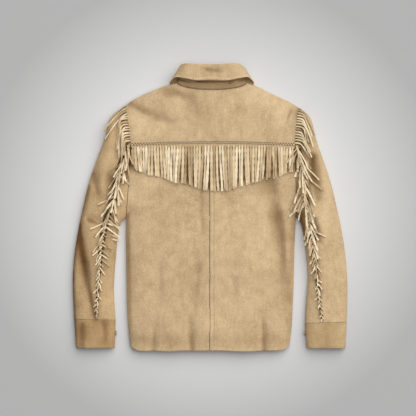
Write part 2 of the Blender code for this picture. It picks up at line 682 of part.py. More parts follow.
def cuff_points(side):
    """A cuff as a strip wound round its section, with its ends lapped at the inner fold."""
    sleeve = SLEEVES[side]
    end = LEFT_CUFF_END if side < 0 else RIGHT_CUFF_END
    last = sleeve.rows
    rows = []
    for v in np.linspace(0, 1, CUFF_ROWS + 1):
        outer = np.array([sleeve.outer_x(last), sleeve.outer_y(last)]) * (1 - v)
        outer = outer + np.array([end.outer_x, end.outer_y]) * v
        inner = np.array([sleeve.inner_x(last), sleeve.inner_y(last)]) * (1 - v)
        inner = inner + np.array([end.inner_x, end.inner_y]) * v
        top = float(sleeve.top(last)) * (1 - v) + end.height * v
        rows.append(cuff_section(outer, inner, top))
    return np.array(rows)


def cuff_path(width):
    """Places round a cuff as (share, upper side, how far inside), from the inside end to the lapping one."""
    over_turn = [CUFF_ROUND / width * s for s in turn_steps(SLEEVE_TURN_STEPS)]
    under_turn = [FRONT_ROUND / width * s for s in turn_steps(FRONT_TURN_STEPS)]
    inner_over = [1 - share for share in reversed(over_turn)]
    inner_under = [1 - share for share in under_turn[1:]]
    path = [(share, True, 1.0) for share in [1 - CUFF_LAP / width] + inner_over]
    path += [(share, False, 1.0) for share in inner_under]
    path += [(share, False, 0.0) for share in CUFF_FLATS + tuple(reversed(under_turn))]
    path += [(share, True, 0.0) for share in over_turn[1:] + [CUFF_MIDDLE] + inner_over]
    path += [(share, False, 0.0) for share in inner_under]
    return path


def cuff_section(outer, inner, top):
    """One wound section of a cuff, between its outer and its inner fold."""
    width = float(np.hypot(*(outer - inner)))
    section = []
    for share, upper, inside in cuff_path(width):
        reach = (CUFF_ROUND if upper else FRONT_ROUND) / width
        up = float(rise(min(share, 1 - share) / reach))
        ceiling = top if upper else 0.0
        step = inside * CUFF_STEP
        x, y = outer + (inner - outer) * share + (outer - inner) / width * step * math.sqrt(1 - up * up)
        lift = -step * up if upper else step * up
        section.append([x, y, CUFF_FOLD_HEIGHT + (ceiling - CUFF_FOLD_HEIGHT) * up + lift])
    return section


COLLAR_CURVES = {name: column(COLLAR, name, "angle") for name in CollarRow._fields[1:]}


def collar_angles():
    """Places round the neck, from the left front (negative) round the back to the right front."""
    turns = list(BACK_TURNS + FRONT_TURNS[1:-1]) + [COLLAR_END_TURN]
    return [-turn for turn in turns[:0:-1]] + turns


def collar_section(angle, stand):
    """One section of the collar: the stand part, or the leaf from there over the roll to its edge."""
    side = -1 if angle < 0 else 1
    turn = math.radians(abs(angle))
    row = {name: float(curve(abs(angle))) for name, curve in COLLAR_CURVES.items()}
    x, y = neck_ring(abs(angle))
    seam_z = neck_height(angle) + COLLAR_SEAM_RISE * math.cos(turn)
    seam = Vector((CENTRE_X + side * (float(x) - CENTRE_X), float(y), seam_z))
    fold = Vector((CENTRE_X + side * row["fold_x"], row["fold_y"], row["fold_z"]))
    edge = Vector((CENTRE_X + side * row["edge_x"], row["edge_y"], row["edge_z"]))
    rising = (fold - seam).normalized()
    outward = Vector((side * math.sin(turn), 0, math.cos(turn)))
    outward = (outward - rising * outward.dot(rising)).normalized()
    start = fold - rising * row["roll"]
    bend = seam.lerp(start, STAND_SHARE)
    if stand:
        return [seam + rising * COLLAR_GAP, bend - rising * LEAF_GAP]
    centre = start + outward * row["roll"]
    points = [bend, start]
    for degrees in ROLL_TURNS:
        phi = math.radians(degrees)
        points.append(centre + (rising * math.sin(phi) - outward * math.cos(phi)) * row["roll"])
    last = points[-1]
    for share in LEAF_STEPS:
        place = last.lerp(edge, share)
        place.z = last.z + (edge.z - last.z) * (1 - (1 - share) ** 3)
        points.append(place)
    return points


def collar_points(stand):
    return [collar_section(angle, stand) for angle in collar_angles()]


def placket_points():
    """The button band under the left front's edge."""
    xs = CENTRE_X + np.linspace(-1, 1, BAND_COLUMNS) * (LAP - BAND_INSET)
    ys = np.linspace(FRONT_HEM_Y + BAND_INSET, NECK_POINT_Y - FRONT_NECK_DROP - 2 * BAND_INSET, BAND_ROWS)
    z = PLACKET_LIFT - SEAM_GAP - BAND_PLY
    return [[(x, y, z) for x in xs] for y in ys]


class Surface:
    """The top of the garment, found by looking straight down on the finished cloth pieces."""

    def __init__(self, objects):
        graph = bpy.context.evaluated_depsgraph_get()
        verts, faces = [], []
        for obj in objects:
            mesh = obj.evaluated_get(graph).to_mesh()
            start = len(verts)
            verts += [v.co.copy() for v in mesh.vertices]
            faces += [[start + i for i in face.vertices] for face in mesh.polygons]
        self.tree = BVHTree.FromPolygons(verts, faces)

    def height(self, x, y, reach=0.0):
        """The highest point within reach of a place, or None beyond the garment."""
        spots = [(0, 0)]
        if reach:
            spots += [(reach, 0), (-reach, 0), (0, reach), (0, -reach)]
        found = []
        for dx, dy in spots:
            hit = self.tree.ray_cast(Vector((x + dx, y + dy, 0.2)), Vector((0, 0, -1)))
            if hit[0] is not None:
                found.append(hit[0].z)
        return max(found) if found else None


def strand_line(surface, root, heading, bend, length, pieces, reach):
    """Points down a strand that lies on the garment and hangs level past its edge."""
    x, y = root
    points, height = [], None
    for i in range(pieces + 1):
        found = surface.height(x, y, reach)
        if found is not None:
            height = found + STRAND_LIFT
        elif height is not None:
            height = max(height - STRAND_SINK * length / pieces, FRINGE_PLY)
        points.append(Vector((x, y, height)))
        heading += bend / pieces
        x += math.sin(heading) * length / pieces
        y -= math.cos(heading) * length / pieces
    return points


def strip_edges(bm, line, width):
    """A strip along a line of points; returns its pairs of edge vertices, left and right."""
    edges = []
    for i, point in enumerate(line):
        run = line[min(i + 1, len(line) - 1)] - line[max(i - 1, 0)]
        sideways = Vector((run.y, -run.x, 0)).normalized() * width / 2
        edges.append((bm.verts.new(point - sideways), bm.verts.new(point + sideways)))
    for (a, b), (c, d) in zip(edges, edges[1:]):
        bm.faces.new((a, b, d, c))
    return edges


def add_strand(bm, pair, path, width):
    """A strand from a pair of strip vertices along a path."""
    previous = pair
    for start, end in zip(path, path[1:]):
        step = end - start
        across = Vector((step.y, -step.x, 0)).normalized() * width / 2
        if (pair[1].co - pair[0].co).dot(across) < 0:
            across = -across
        new = (bm.verts.new(end - across), bm.verts.new(end + across))
        bm.faces.new((previous[0], previous[1], new[1], new[0]))
        previous = new


def comb(name, surface, spine, strands, strip_width, along_spine, reach=CLEAR_REACH):
    """A narrow strip along a spine with strands fused to its edge, as one sheet with thickness."""
    bm = bmesh.new()
    line = []
    for x, y in spine:
        line.append(Vector((x, y, surface.height(x, y, CLEAR_REACH) + FRINGE_PLY / 2 + STRIP_LIFT)))
    edges = strip_edges(bm, line, strip_width)
    for strand in strands:
        i = strand.edge
        pair = (edges[i][strand.right], edges[i + 1][strand.right])
        root = (pair[0].co + pair[1].co) / 2
        heading = strand.heading
        if along_spine:
            run = line[min(i + SPINE_REACH, len(line) - 1)] - line[max(i - SPINE_REACH, 0)]
            heading += math.atan2(run.x, -run.y)
        path = strand_line(surface, root.xy, heading, strand.bend, strand.length, strand.pieces, reach)
        add_strand(bm, pair, path, strand.width)
    bmesh.ops.recalc_face_normals(bm, faces=bm.faces)
    return finished(name, bm, MATERIALS["fringe"], FRINGE_PLY)


def yoke_fringe_spine():
    """Strip points under the yoke seam: one strand's width, then one gap, and so on."""
    left = float(body_left(YOKE_END_Y)) + YOKE_FRINGE_INSET
    right = float(body_right(YOKE_END_Y)) - YOKE_FRINGE_INSET
    pitch = (right - left + YOKE_STRAND_GAP) / YOKE_STRANDS
    starts = left + pitch * np.arange(YOKE_STRANDS)
    xs = np.sort(np.concatenate([starts, starts + pitch - YOKE_STRAND_GAP]))
    return np.stack([xs, yoke_seam(xs) - YOKE_STRIP_DROP], 1)


def yoke_fringe_strands(rng):
    """The yoke's strands, longest at the centre and drifting a little to and fro."""
    strands = []
    for i in range(YOKE_STRANDS):
        across = abs(2 * (i + 0.5) / YOKE_STRANDS - 1)
        drift = YOKE_DRIFT * math.sin(i * YOKE_DRIFT_TURN)
        bend = rng.uniform(-YOKE_BEND, YOKE_BEND)
        length = YOKE_FRINGE_MIDDLE + (YOKE_FRINGE_END - YOKE_FRINGE_MIDDLE) * across
        length += rng.uniform(-YOKE_UNEVEN, YOKE_UNEVEN)
        strands.append(Strand(2 * i, 1, drift, bend, length, YOKE_STRAND_WIDTH, YOKE_STRAND_PIECES))
    return strands


def side_spine(side, first, last, count, gap_share):
    """Strip points down the armhole and the sleeve's back seam, between two places on that path."""
    sleeve = SLEEVES[side]
    armhole_steps, sleeve_steps = SIDE_SPINE_STEPS
    path = []
    for share in np.linspace(ARMHOLE_FRINGE_START, sleeve.yoke_share, armhole_steps):
        x, y = sleeve.armhole(share)
        path.append((float(x) + side * ARMHOLE_FRINGE_OUT, float(y)))
    seam_start = float(sleeve.seam(0))
    for row in np.linspace(0.25, sleeve.rows, sleeve_steps):
        share = float(sleeve.seam(row))
        if row <= SLEEVE_BLEND:
            share = sleeve.yoke_share + (seam_start - sleeve.yoke_share) * row / SLEEVE_BLEND
        x, y = sleeve.plan(row, share)
        path.append((float(x), float(y)))
    path = np.array(path)
    lengths = np.concatenate([[0], np.cumsum(np.hypot(*np.diff(path, axis=0).T))])
    starts = np.linspace(first * lengths[-1], last * lengths[-1], count + 1)
    places = []
    for a, b in zip(starts, starts[1:]):
        places += [a, a + (b - a) * (1 - gap_share)]
    return np.stack([np.interp(places, lengths, path[:, 0]), np.interp(places, lengths, path[:, 1])], 1)


def armhole_strands(side, rng):
    """Strands from the armhole seam out over the shoulder, shorter further down."""
    outer_edge = 1 if side < 0 else 0
    strands = []
    for i in range(ARMHOLE_STRANDS):
        down = i / (ARMHOLE_STRANDS - 1)
        heading = side * float(np.interp(down, (0, 1), ARMHOLE_HEADINGS))
        heading += rng.uniform(-SIDE_TURN_UNEVEN, SIDE_TURN_UNEVEN)
        length = float(np.interp(down, (0, 1), ARMHOLE_LENGTHS))
        length += rng.uniform(-ARMHOLE_UNEVEN, ARMHOLE_UNEVEN)
        bend = ARMHOLE_BEND_SHARE * heading
        strands.append(Strand(2 * i, outer_edge, heading, bend, length, *SIDE_STRAND))
    return strands


def sleeve_strands(rng):
    """Strands to the left and the right in turn down a sleeve's back seam."""
    strands = []
    for i in range(SLEEVE_STRANDS):
        down = i / (SLEEVE_STRANDS - 1)
        right = i % 2
        lean = -1 if right else 1
        length = float(np.interp(down, SLEEVE_FRINGE_DOWN, SLEEVE_FRINGE_LENGTHS))
        length *= rng.uniform(*SLEEVE_UNEVEN)
        heading = lean * float(np.interp(down, (0, 1), SLEEVE_HEADINGS))
        heading += rng.uniform(-SIDE_TURN_UNEVEN, SIDE_TURN_UNEVEN)
        bend = -lean * rng.uniform(*SLEEVE_BENDS)
        strands.append(Strand(2 * i, right, heading, bend, length, *SIDE_STRAND))
    return strands


def disc(name, centre, axis, radius):
    """A flat round button, with its face along an axis."""
    bm = bmesh.new()
    bmesh.ops.create_cone(
        bm, cap_ends=True, segments=BUTTON_SIDES, radius1=radius, radius2=radius, depth=BUTTON_DEPTH
    )
    turn = Vector((0, 0, 1)).rotation_difference(Vector(axis)).to_matrix()
    for vert in bm.verts:
        vert.co = turn @ vert.co + Vector(centre)
    return finished(name, bm, MATERIALS["button"])


def make_body():
    cloth = []
    for side, (word, _, _) in SIDES.items():
        cloth.append(sheet_object("back_" + word, back_panel(side)))
        cloth.append(sheet_object("front_" + word, front_panel(side), outward=(0, 0, -1)))
    cloth.append(sheet_object("back_yoke", yoke_points()))
    sheet_object("front_band", placket_points(), outward=(0, 0, -1), thickness=BAND_PLY)
    return cloth


def make_sleeves():
    cloth = []
    for side, (word, _, _) in SIDES.items():
        cloth.append(sheet_object("sleeve_%s_top" % word, sleeve_points(side, True), outward=None))
        cloth.append(sheet_object("sleeve_%s_under" % word, sleeve_points(side, False), outward=None))
        cloth.append(sheet_object("cuff_" + word, cuff_points(side), outward=None, thickness=CUFF_PLY))
    return cloth


def make_collar():
    sheet_object("collar_stand", collar_points(True), outward=(0, 1, 0), thickness=STAND_PLY, offset=0.0)
    sheet_object("collar_leaf", collar_points(False), outward=(0, 1, 0), thickness=LEAF_PLY, offset=0.0)


def lacing_spine():
    left = float(body_left(YOKE_END_Y)) + LACE_INSET
    right = float(body_right(YOKE_END_Y)) - LACE_INSET
    xs = np.linspace(left, right, LACE_PIECES + 1)
    return np.stack([xs, yoke_seam(xs)], 1)


def make_fringe(cloth):
    """Each comb lies on the cloth and on the combs made before it."""
    rng = np.random.default_rng(SEED)
    surface = Surface(cloth)
    strands = yoke_fringe_strands(rng)
    yoke = comb("yoke_fringe", surface, yoke_fringe_spine(), strands, YOKE_STRIP_WIDTH, False)
    comb("yoke_lacing", surface, lacing_spine(), [], LACE_WIDTH, False)
    surface = Surface(cloth + [yoke])
    for side, (word, _, _) in SIDES.items():
        spine = side_spine(side, SLEEVE_FRINGE_START, SLEEVE_FRINGE_STOP, SLEEVE_STRANDS, SLEEVE_GAP_SHARE)
        lower = comb("sleeve_fringe_" + word, surface, spine, sleeve_strands(rng), SIDE_STRIP_WIDTH, True)
        over = Surface(cloth + [yoke, lower])
        spine = side_spine(side, 0.0, ARMHOLE_FRINGE_END, ARMHOLE_STRANDS, ARMHOLE_GAP_SHARE)
        strands = armhole_strands(side, rng)
        comb("armhole_fringe_" + word, over, spine, strands, SIDE_STRIP_WIDTH, True, OVER_REACH)


def make_buttons():
    for i in range(FRONT_BUTTONS):
        place = (CENTRE_X, FRONT_BUTTON_TOP_Y - i * FRONT_BUTTON_STEP, BUTTON_DEPTH / 2)
        disc("front_button_%d" % (i + 1), place, (0, 0, 1), BUTTON_RADIUS)
    for side, end in ((-1, LEFT_CUFF_END), (1, RIGHT_CUFF_END)):
        sleeve = SLEEVES[side]
        seam_x = float(sleeve.inner_x(sleeve.rows))
        seam_y = float(sleeve.inner_y(sleeve.rows))
        down = (CUFF_BUTTON_Y - seam_y) / (end.inner_y - seam_y)
        x = seam_x + (end.inner_x - seam_x) * down - side * (CUFF_BUTTON_OUT + BUTTON_DEPTH / 2)
        place = (x, CUFF_BUTTON_Y, CUFF_FOLD_HEIGHT)
        disc("cuff_button_" + SIDES[side][0], place, (1, 0, 0), CUFF_BUTTON_RADIUS)


clear_scene()
GARMENT = bpy.data.collections.new("western_suede_jacket")
bpy.context.scene.collection.children.link(GARMENT)
MATERIALS = {
    "suede": material("suede", SUEDE_COLOUR, 0.95),
    "fringe": material("fringe suede", FRINGE_COLOUR, 0.95),
    "button": material("button", BUTTON_COLOUR, 0.4),
}
cloth_pieces = make_body() + make_sleeves()
make_collar()
make_fringe(cloth_pieces)
make_buttons()
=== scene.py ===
"""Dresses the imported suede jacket: cloth shells, laid fringe, lacing, stitching, buttons, light and camera.

Metres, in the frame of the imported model. +X is to the right and +Y towards the collar for someone who looks
down on the back, and +Z is up from the table. "Left" and "right" are those of that view.
"""

import math
from collections import namedtuple

import bmesh
import bpy
import numpy as np
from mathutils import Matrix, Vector
from mathutils.bvhtree import BVHTree


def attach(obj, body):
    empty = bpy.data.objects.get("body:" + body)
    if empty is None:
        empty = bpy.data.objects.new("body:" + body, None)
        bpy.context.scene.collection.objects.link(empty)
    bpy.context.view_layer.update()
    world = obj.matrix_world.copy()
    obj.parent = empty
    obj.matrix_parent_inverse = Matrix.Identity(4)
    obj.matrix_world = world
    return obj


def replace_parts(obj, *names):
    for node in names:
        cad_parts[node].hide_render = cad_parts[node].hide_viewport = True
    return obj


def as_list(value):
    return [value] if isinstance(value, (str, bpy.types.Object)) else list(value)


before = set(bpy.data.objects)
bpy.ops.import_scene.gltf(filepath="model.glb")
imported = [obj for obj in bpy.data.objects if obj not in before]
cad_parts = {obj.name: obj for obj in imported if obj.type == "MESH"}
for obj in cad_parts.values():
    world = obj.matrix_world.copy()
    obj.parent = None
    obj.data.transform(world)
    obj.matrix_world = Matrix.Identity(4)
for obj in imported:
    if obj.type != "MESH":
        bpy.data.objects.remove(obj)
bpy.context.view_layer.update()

SIDE_WORDS = ((-1, "left"), (1, "right"))
TINY = 1e-6

# Thicknesses and clearances
SUEDE = 0.0014
STAND_PLY = 0.0016
LEAF_PLY = 0.0018
CUFF_PLY = 0.0020
BAND_PLY = 0.0012
SEAM_GAP = 0.0003
FOLD_GAP = 0.0008
SLEEVE_SEAM_GAP = 0.0006
LEAF_GAP = 0.0015
ARMHOLE_GAP = 0.0012
CUFF_SEAM_GAP = 0.0002
COLLAR_GAP = 0.0010
BAND_INSET = 0.001
CUFF_LAP = 0.036
CUFF_STEP = CUFF_PLY + SEAM_GAP + 0.0003

# Heights of the laid garment
CENTRE_X = 0.005
CROWN_MIDDLE = 0.042
CROWN_ARMHOLE = 0.034
HEM_CROWN_SHARE = 0.76
CROWN_HALF_WIDTH = 0.220
SIDE_FOLD_HEIGHT = 0.012
SHOULDER_FOLD_HEIGHT = 0.013
NECK_FOLD_HEIGHT = 0.021
CUFF_FOLD_HEIGHT = 0.010
BACK_ROUND = 0.055
FRONT_ROUND = 0.016
SLEEVE_ROUND = 0.052
CUFF_ROUND = 0.030
COLLAR_LIFT = 0.0046
PLACKET_LIFT = 0.0046
LAP_LIFT = 0.0065
LAP = 0.018
FLAT_REACH = 0.021
COLLAR_SEAM_RISE = -0.0007
LAP_FADE = 0.030  # the lift over the button band fades out over this distance
COLLAR_LIFT_X = (0.112, 0.155)  # from the collar leaf the fronts come down between these distances
COLLAR_LIFT_Y = (0.150, 0.195)

# Lengthwise places
HEM_Y = -0.3745
FOLD_START_Y = HEM_Y - 0.02
HEM_CORNER_RISE = 0.017
HEM_CORNER_LENGTH = 0.028
HEM_WAVE = 0.0013
HEM_WAVE_LENGTH = 0.035
HEM_WAVE_SEED = 6
HEM_LINE_SHARE = 0.1  # share of the back's length over which the hem's own line fades out
HEM_CROWN_END_Y = -0.060  # the crown gets lower from here to the hem
FRONT_HEM_Y = -0.3705
YOKE_END_Y = 0.1625
YOKE_MIDDLE_RISE = 0.0045
YOKE_HALF_WIDTH = 0.2
YOKE_LINE_SHARE = 0.85  # from this share of its length the back takes on the yoke seam's line
NECK_POINT_Y = 0.321
NECK_HALF_WIDTH = 0.090
NECK_FOLD_REST = ((0.045, 0.012), (0.0, 0.020))
BACK_NECK_DROP = 0.0207
FRONT_NECK_DROP = 0.084

BodyRow = namedtuple("BodyRow", "y left right")
BODY = [
    BodyRow(-0.3800, -0.2040, 0.2030),
    BodyRow(-0.3210, -0.2105, 0.2105),
    BodyRow(-0.2430, -0.2150, 0.2150),
    BodyRow(-0.1910, -0.2163, 0.2170),
    BodyRow(-0.1130, -0.2176, 0.2184),
    BodyRow(-0.0660, -0.2180, 0.2205),
    BodyRow(-0.0250, -0.2165, 0.2225),
    BodyRow(0.0300, -0.2120, 0.2225),
    BodyRow(0.1000, -0.2070, 0.2205),
    BodyRow(0.1650, -0.2060, 0.2200),
    BodyRow(0.2120, -0.2115, 0.2240),
    BodyRow(0.2620, -0.2200, 0.2310),
]

ShoulderRow = namedtuple("ShoulderRow", "share left_x left_y right_x right_y")
SHOULDERS = [
    ShoulderRow(0.00, -0.2198, 0.2608, 0.2302, 0.2560),
    ShoulderRow(0.12, -0.2060, 0.2712, 0.2160, 0.2650),
    ShoulderRow(0.35, -0.1768, 0.2876, 0.1880, 0.2790),
    ShoulderRow(0.60, -0.1430, 0.3018, 0.1520, 0.2960),
    ShoulderRow(0.80, -0.1140, 0.3125, 0.1250, 0.3095),
    ShoulderRow(1.00, -0.0850, 0.3210, 0.0950, 0.3210),
]

SleeveRow = namedtuple("SleeveRow", "outer_x outer_y inner_x inner_y seam_share height")
LEFT_SLEEVE = [
    SleeveRow(-0.2198, 0.2608, -0.2165, -0.0250, 0.640, 0.0340),
    SleeveRow(-0.2574, 0.2300, -0.2223, -0.0325, 0.640, 0.0360),
    SleeveRow(-0.2743, 0.1729, -0.2301, -0.0403, 0.660, 0.0370),
    SleeveRow(-0.2938, 0.1209, -0.2348, -0.0533, 0.670, 0.0370),
    SleeveRow(-0.3133, 0.0637, -0.2384, -0.0715, 0.650, 0.0360),
    SleeveRow(-0.3289, 0.0013, -0.2418, -0.1000, 0.630, 0.0350),
    SleeveRow(-0.3419, -0.0610, -0.2444, -0.1339, 0.620, 0.0340),
    SleeveRow(-0.3520, -0.1260, -0.2475, -0.1703, 0.640, 0.0330),
    SleeveRow(-0.3560, -0.1910, -0.2496, -0.2093, 0.630, 0.0310),
    SleeveRow(-0.3548, -0.2430, -0.2483, -0.2483, 0.590, 0.0290),
    SleeveRow(-0.3525, -0.2925, -0.2452, -0.2950, 0.560, 0.0280),
]
RIGHT_SLEEVE = [
    SleeveRow(0.2302, 0.2560, 0.2225, -0.0250, 0.640, 0.0340),
    SleeveRow(0.2600, 0.2300, 0.2288, -0.0325, 0.640, 0.0360),
    SleeveRow(0.2756, 0.1729, 0.2348, -0.0416, 0.690, 0.0370),
    SleeveRow(0.2938, 0.1209, 0.2392, -0.0585, 0.730, 0.0370),
    SleeveRow(0.3128, 0.0637, 0.2439, -0.0819, 0.760, 0.0360),
    SleeveRow(0.3281, 0.0013, 0.2478, -0.1105, 0.775, 0.0350),
    SleeveRow(0.3411, -0.0610, 0.2512, -0.1417, 0.775, 0.0340),
    SleeveRow(0.3510, -0.1261, 0.2538, -0.1755, 0.780, 0.0330),
    SleeveRow(0.3560, -0.1911, 0.2527, -0.2093, 0.750, 0.0310),
    SleeveRow(0.3560, -0.2431, 0.2491, -0.2483, 0.675, 0.0290),
    SleeveRow(0.3544, -0.3003, 0.2465, -0.3037, 0.570, 0.0280),
]
FRONT_SEAM_SHARE = 0.62
ARMHOLE_EASE = 6  # power of the curve in which the armhole seam swings out to the shoulder point
ARMHOLE_BLEND = 1.6  # rows over which a sleeve leaves the form of the armhole
ARMHOLE_GAP_ROWS = 0.2
OUTER_ROUND_MOST = 0.6  # most of a sleeve piece's width that the round of its fold takes up
INNER_ROUND_MOST = 0.9
LAST_ROW_LENGTH = 0.0025

CuffEnd = namedtuple("CuffEnd", "outer_x outer_y inner_x inner_y height")
CUFF_ENDS = {  # by side
    -1: CuffEnd(-0.3471, -0.3670, -0.2470, -0.3666, 0.0270),
    1: CuffEnd(0.3510, -0.3674, 0.2504, -0.3669, 0.0270),
}

Crease = namedtuple("Crease", "x0 y0 x1 y1 bow half_width depth left", defaults=(1.0,))
CREASES = [  # soft troughs, or ridges where the depth is negative; bow pushes the middle sideways,
    # and left is how many times wider the wall towards -X is
    Crease(0.140, -0.378, 0.136, -0.280, 0.002, 0.0100, 0.0055),  # hem
    Crease(0.086, -0.378, 0.080, -0.300, 0.000, 0.0200, -0.0025),
    Crease(-0.047, -0.378, -0.052, -0.285, 0.002, 0.0095, 0.0050),
    Crease(-0.146, -0.378, -0.142, -0.305, 0.000, 0.0110, 0.0028),
    Crease(-0.098, -0.378, -0.095, -0.310, 0.000, 0.0180, -0.0020),
    Crease(0.026, -0.282, 0.027, -0.315, 0.000, 0.0050, 0.0009),
    Crease(0.150, 0.080, 0.186, -0.120, -0.006, 0.0130, 0.0078, 3.0),  # down the right side
    Crease(0.182, -0.090, 0.193, -0.230, 0.000, 0.0110, 0.0060, 2.6),
    Crease(-0.013, 0.045, -0.020, -0.075, 0.002, 0.0090, 0.0032),  # beside the centre seam
    Crease(0.006, 0.040, 0.006, -0.060, 0.000, 0.0100, -0.0012),
    Crease(-0.129, 0.040, -0.131, -0.030, 0.000, 0.0100, 0.0012),
    Crease(-0.125, -0.150, -0.129, -0.250, 0.003, 0.0120, 0.0016),
    Crease(-0.036, -0.140, -0.042, -0.262, -0.003, 0.0150, 0.0018),
    Crease(0.064, -0.185, 0.069, -0.262, 0.002, 0.0110, 0.0016),
    Crease(0.118, -0.060, 0.128, -0.170, 0.003, 0.0140, 0.0014),
    Crease(-0.152, 0.262, -0.088, 0.212, 0.006, 0.0170, 0.0060, 2.2),  # yoke
    Crease(-0.104, 0.300, -0.050, 0.276, 0.000, 0.0110, 0.0048),
    Crease(0.060, 0.283, 0.112, 0.300, 0.000, 0.0110, 0.0018),
    Crease(0.210, 0.250, 0.192, 0.190, 0.003, 0.0055, 0.0019),
    Crease(0.199, 0.250, 0.181, 0.190, 0.003, 0.0070, -0.0010),
    Crease(0.030, 0.270, 0.120, 0.225, 0.004, 0.0200, 0.0010),
    Crease(-0.012, 0.354, 0.018, 0.350, 0.001, 0.0060, 0.0017),  # collar leaf
    Crease(-0.050, 0.371, -0.062, 0.352, 0.000, 0.0050, 0.0010),
    Crease(-0.336, -0.045, -0.322, -0.185, 0.003, 0.0120, 0.0066, 1.4),  # left sleeve
    Crease(-0.324, -0.150, -0.302, -0.288, 0.004, 0.0105, 0.0085, 1.8),
    Crease(-0.298, 0.100, -0.290, 0.010, 0.000, 0.0110, 0.0070, 1.6),
    Crease(-0.318, -0.030, -0.276, -0.046, -0.003, 0.0085, 0.0055),
    Crease(-0.302, -0.075, -0.290, -0.150, 0.000, 0.0130, -0.0020),
    Crease(-0.268, -0.235, -0.252, -0.255, 0.000, 0.0060, 0.0020),
    Crease(-0.336, -0.320, -0.336, -0.372, 0.000, 0.0080, 0.0026),  # left cuff
    Crease(-0.274, -0.306, -0.272, -0.372, 0.000, 0.0090, 0.0028),
    Crease(0.276, 0.120, 0.282, 0.035, 0.006, 0.0140, 0.0095, 1.6),  # right sleeve
    Crease(0.300, -0.010, 0.296, -0.090, 0.010, 0.0150, -0.0030),
    Crease(0.268, -0.036, 0.280, -0.092, 0.002, 0.0100, 0.0080, 1.6),
    Crease(0.262, -0.100, 0.292, -0.118, 0.002, 0.0055, 0.0020),
    Crease(0.318, -0.130, 0.330, -0.230, 0.000, 0.0140, 0.0016),
    Crease(0.300, -0.305, 0.301, -0.372, 0.000, 0.0110, 0.0014),  # right cuff
]
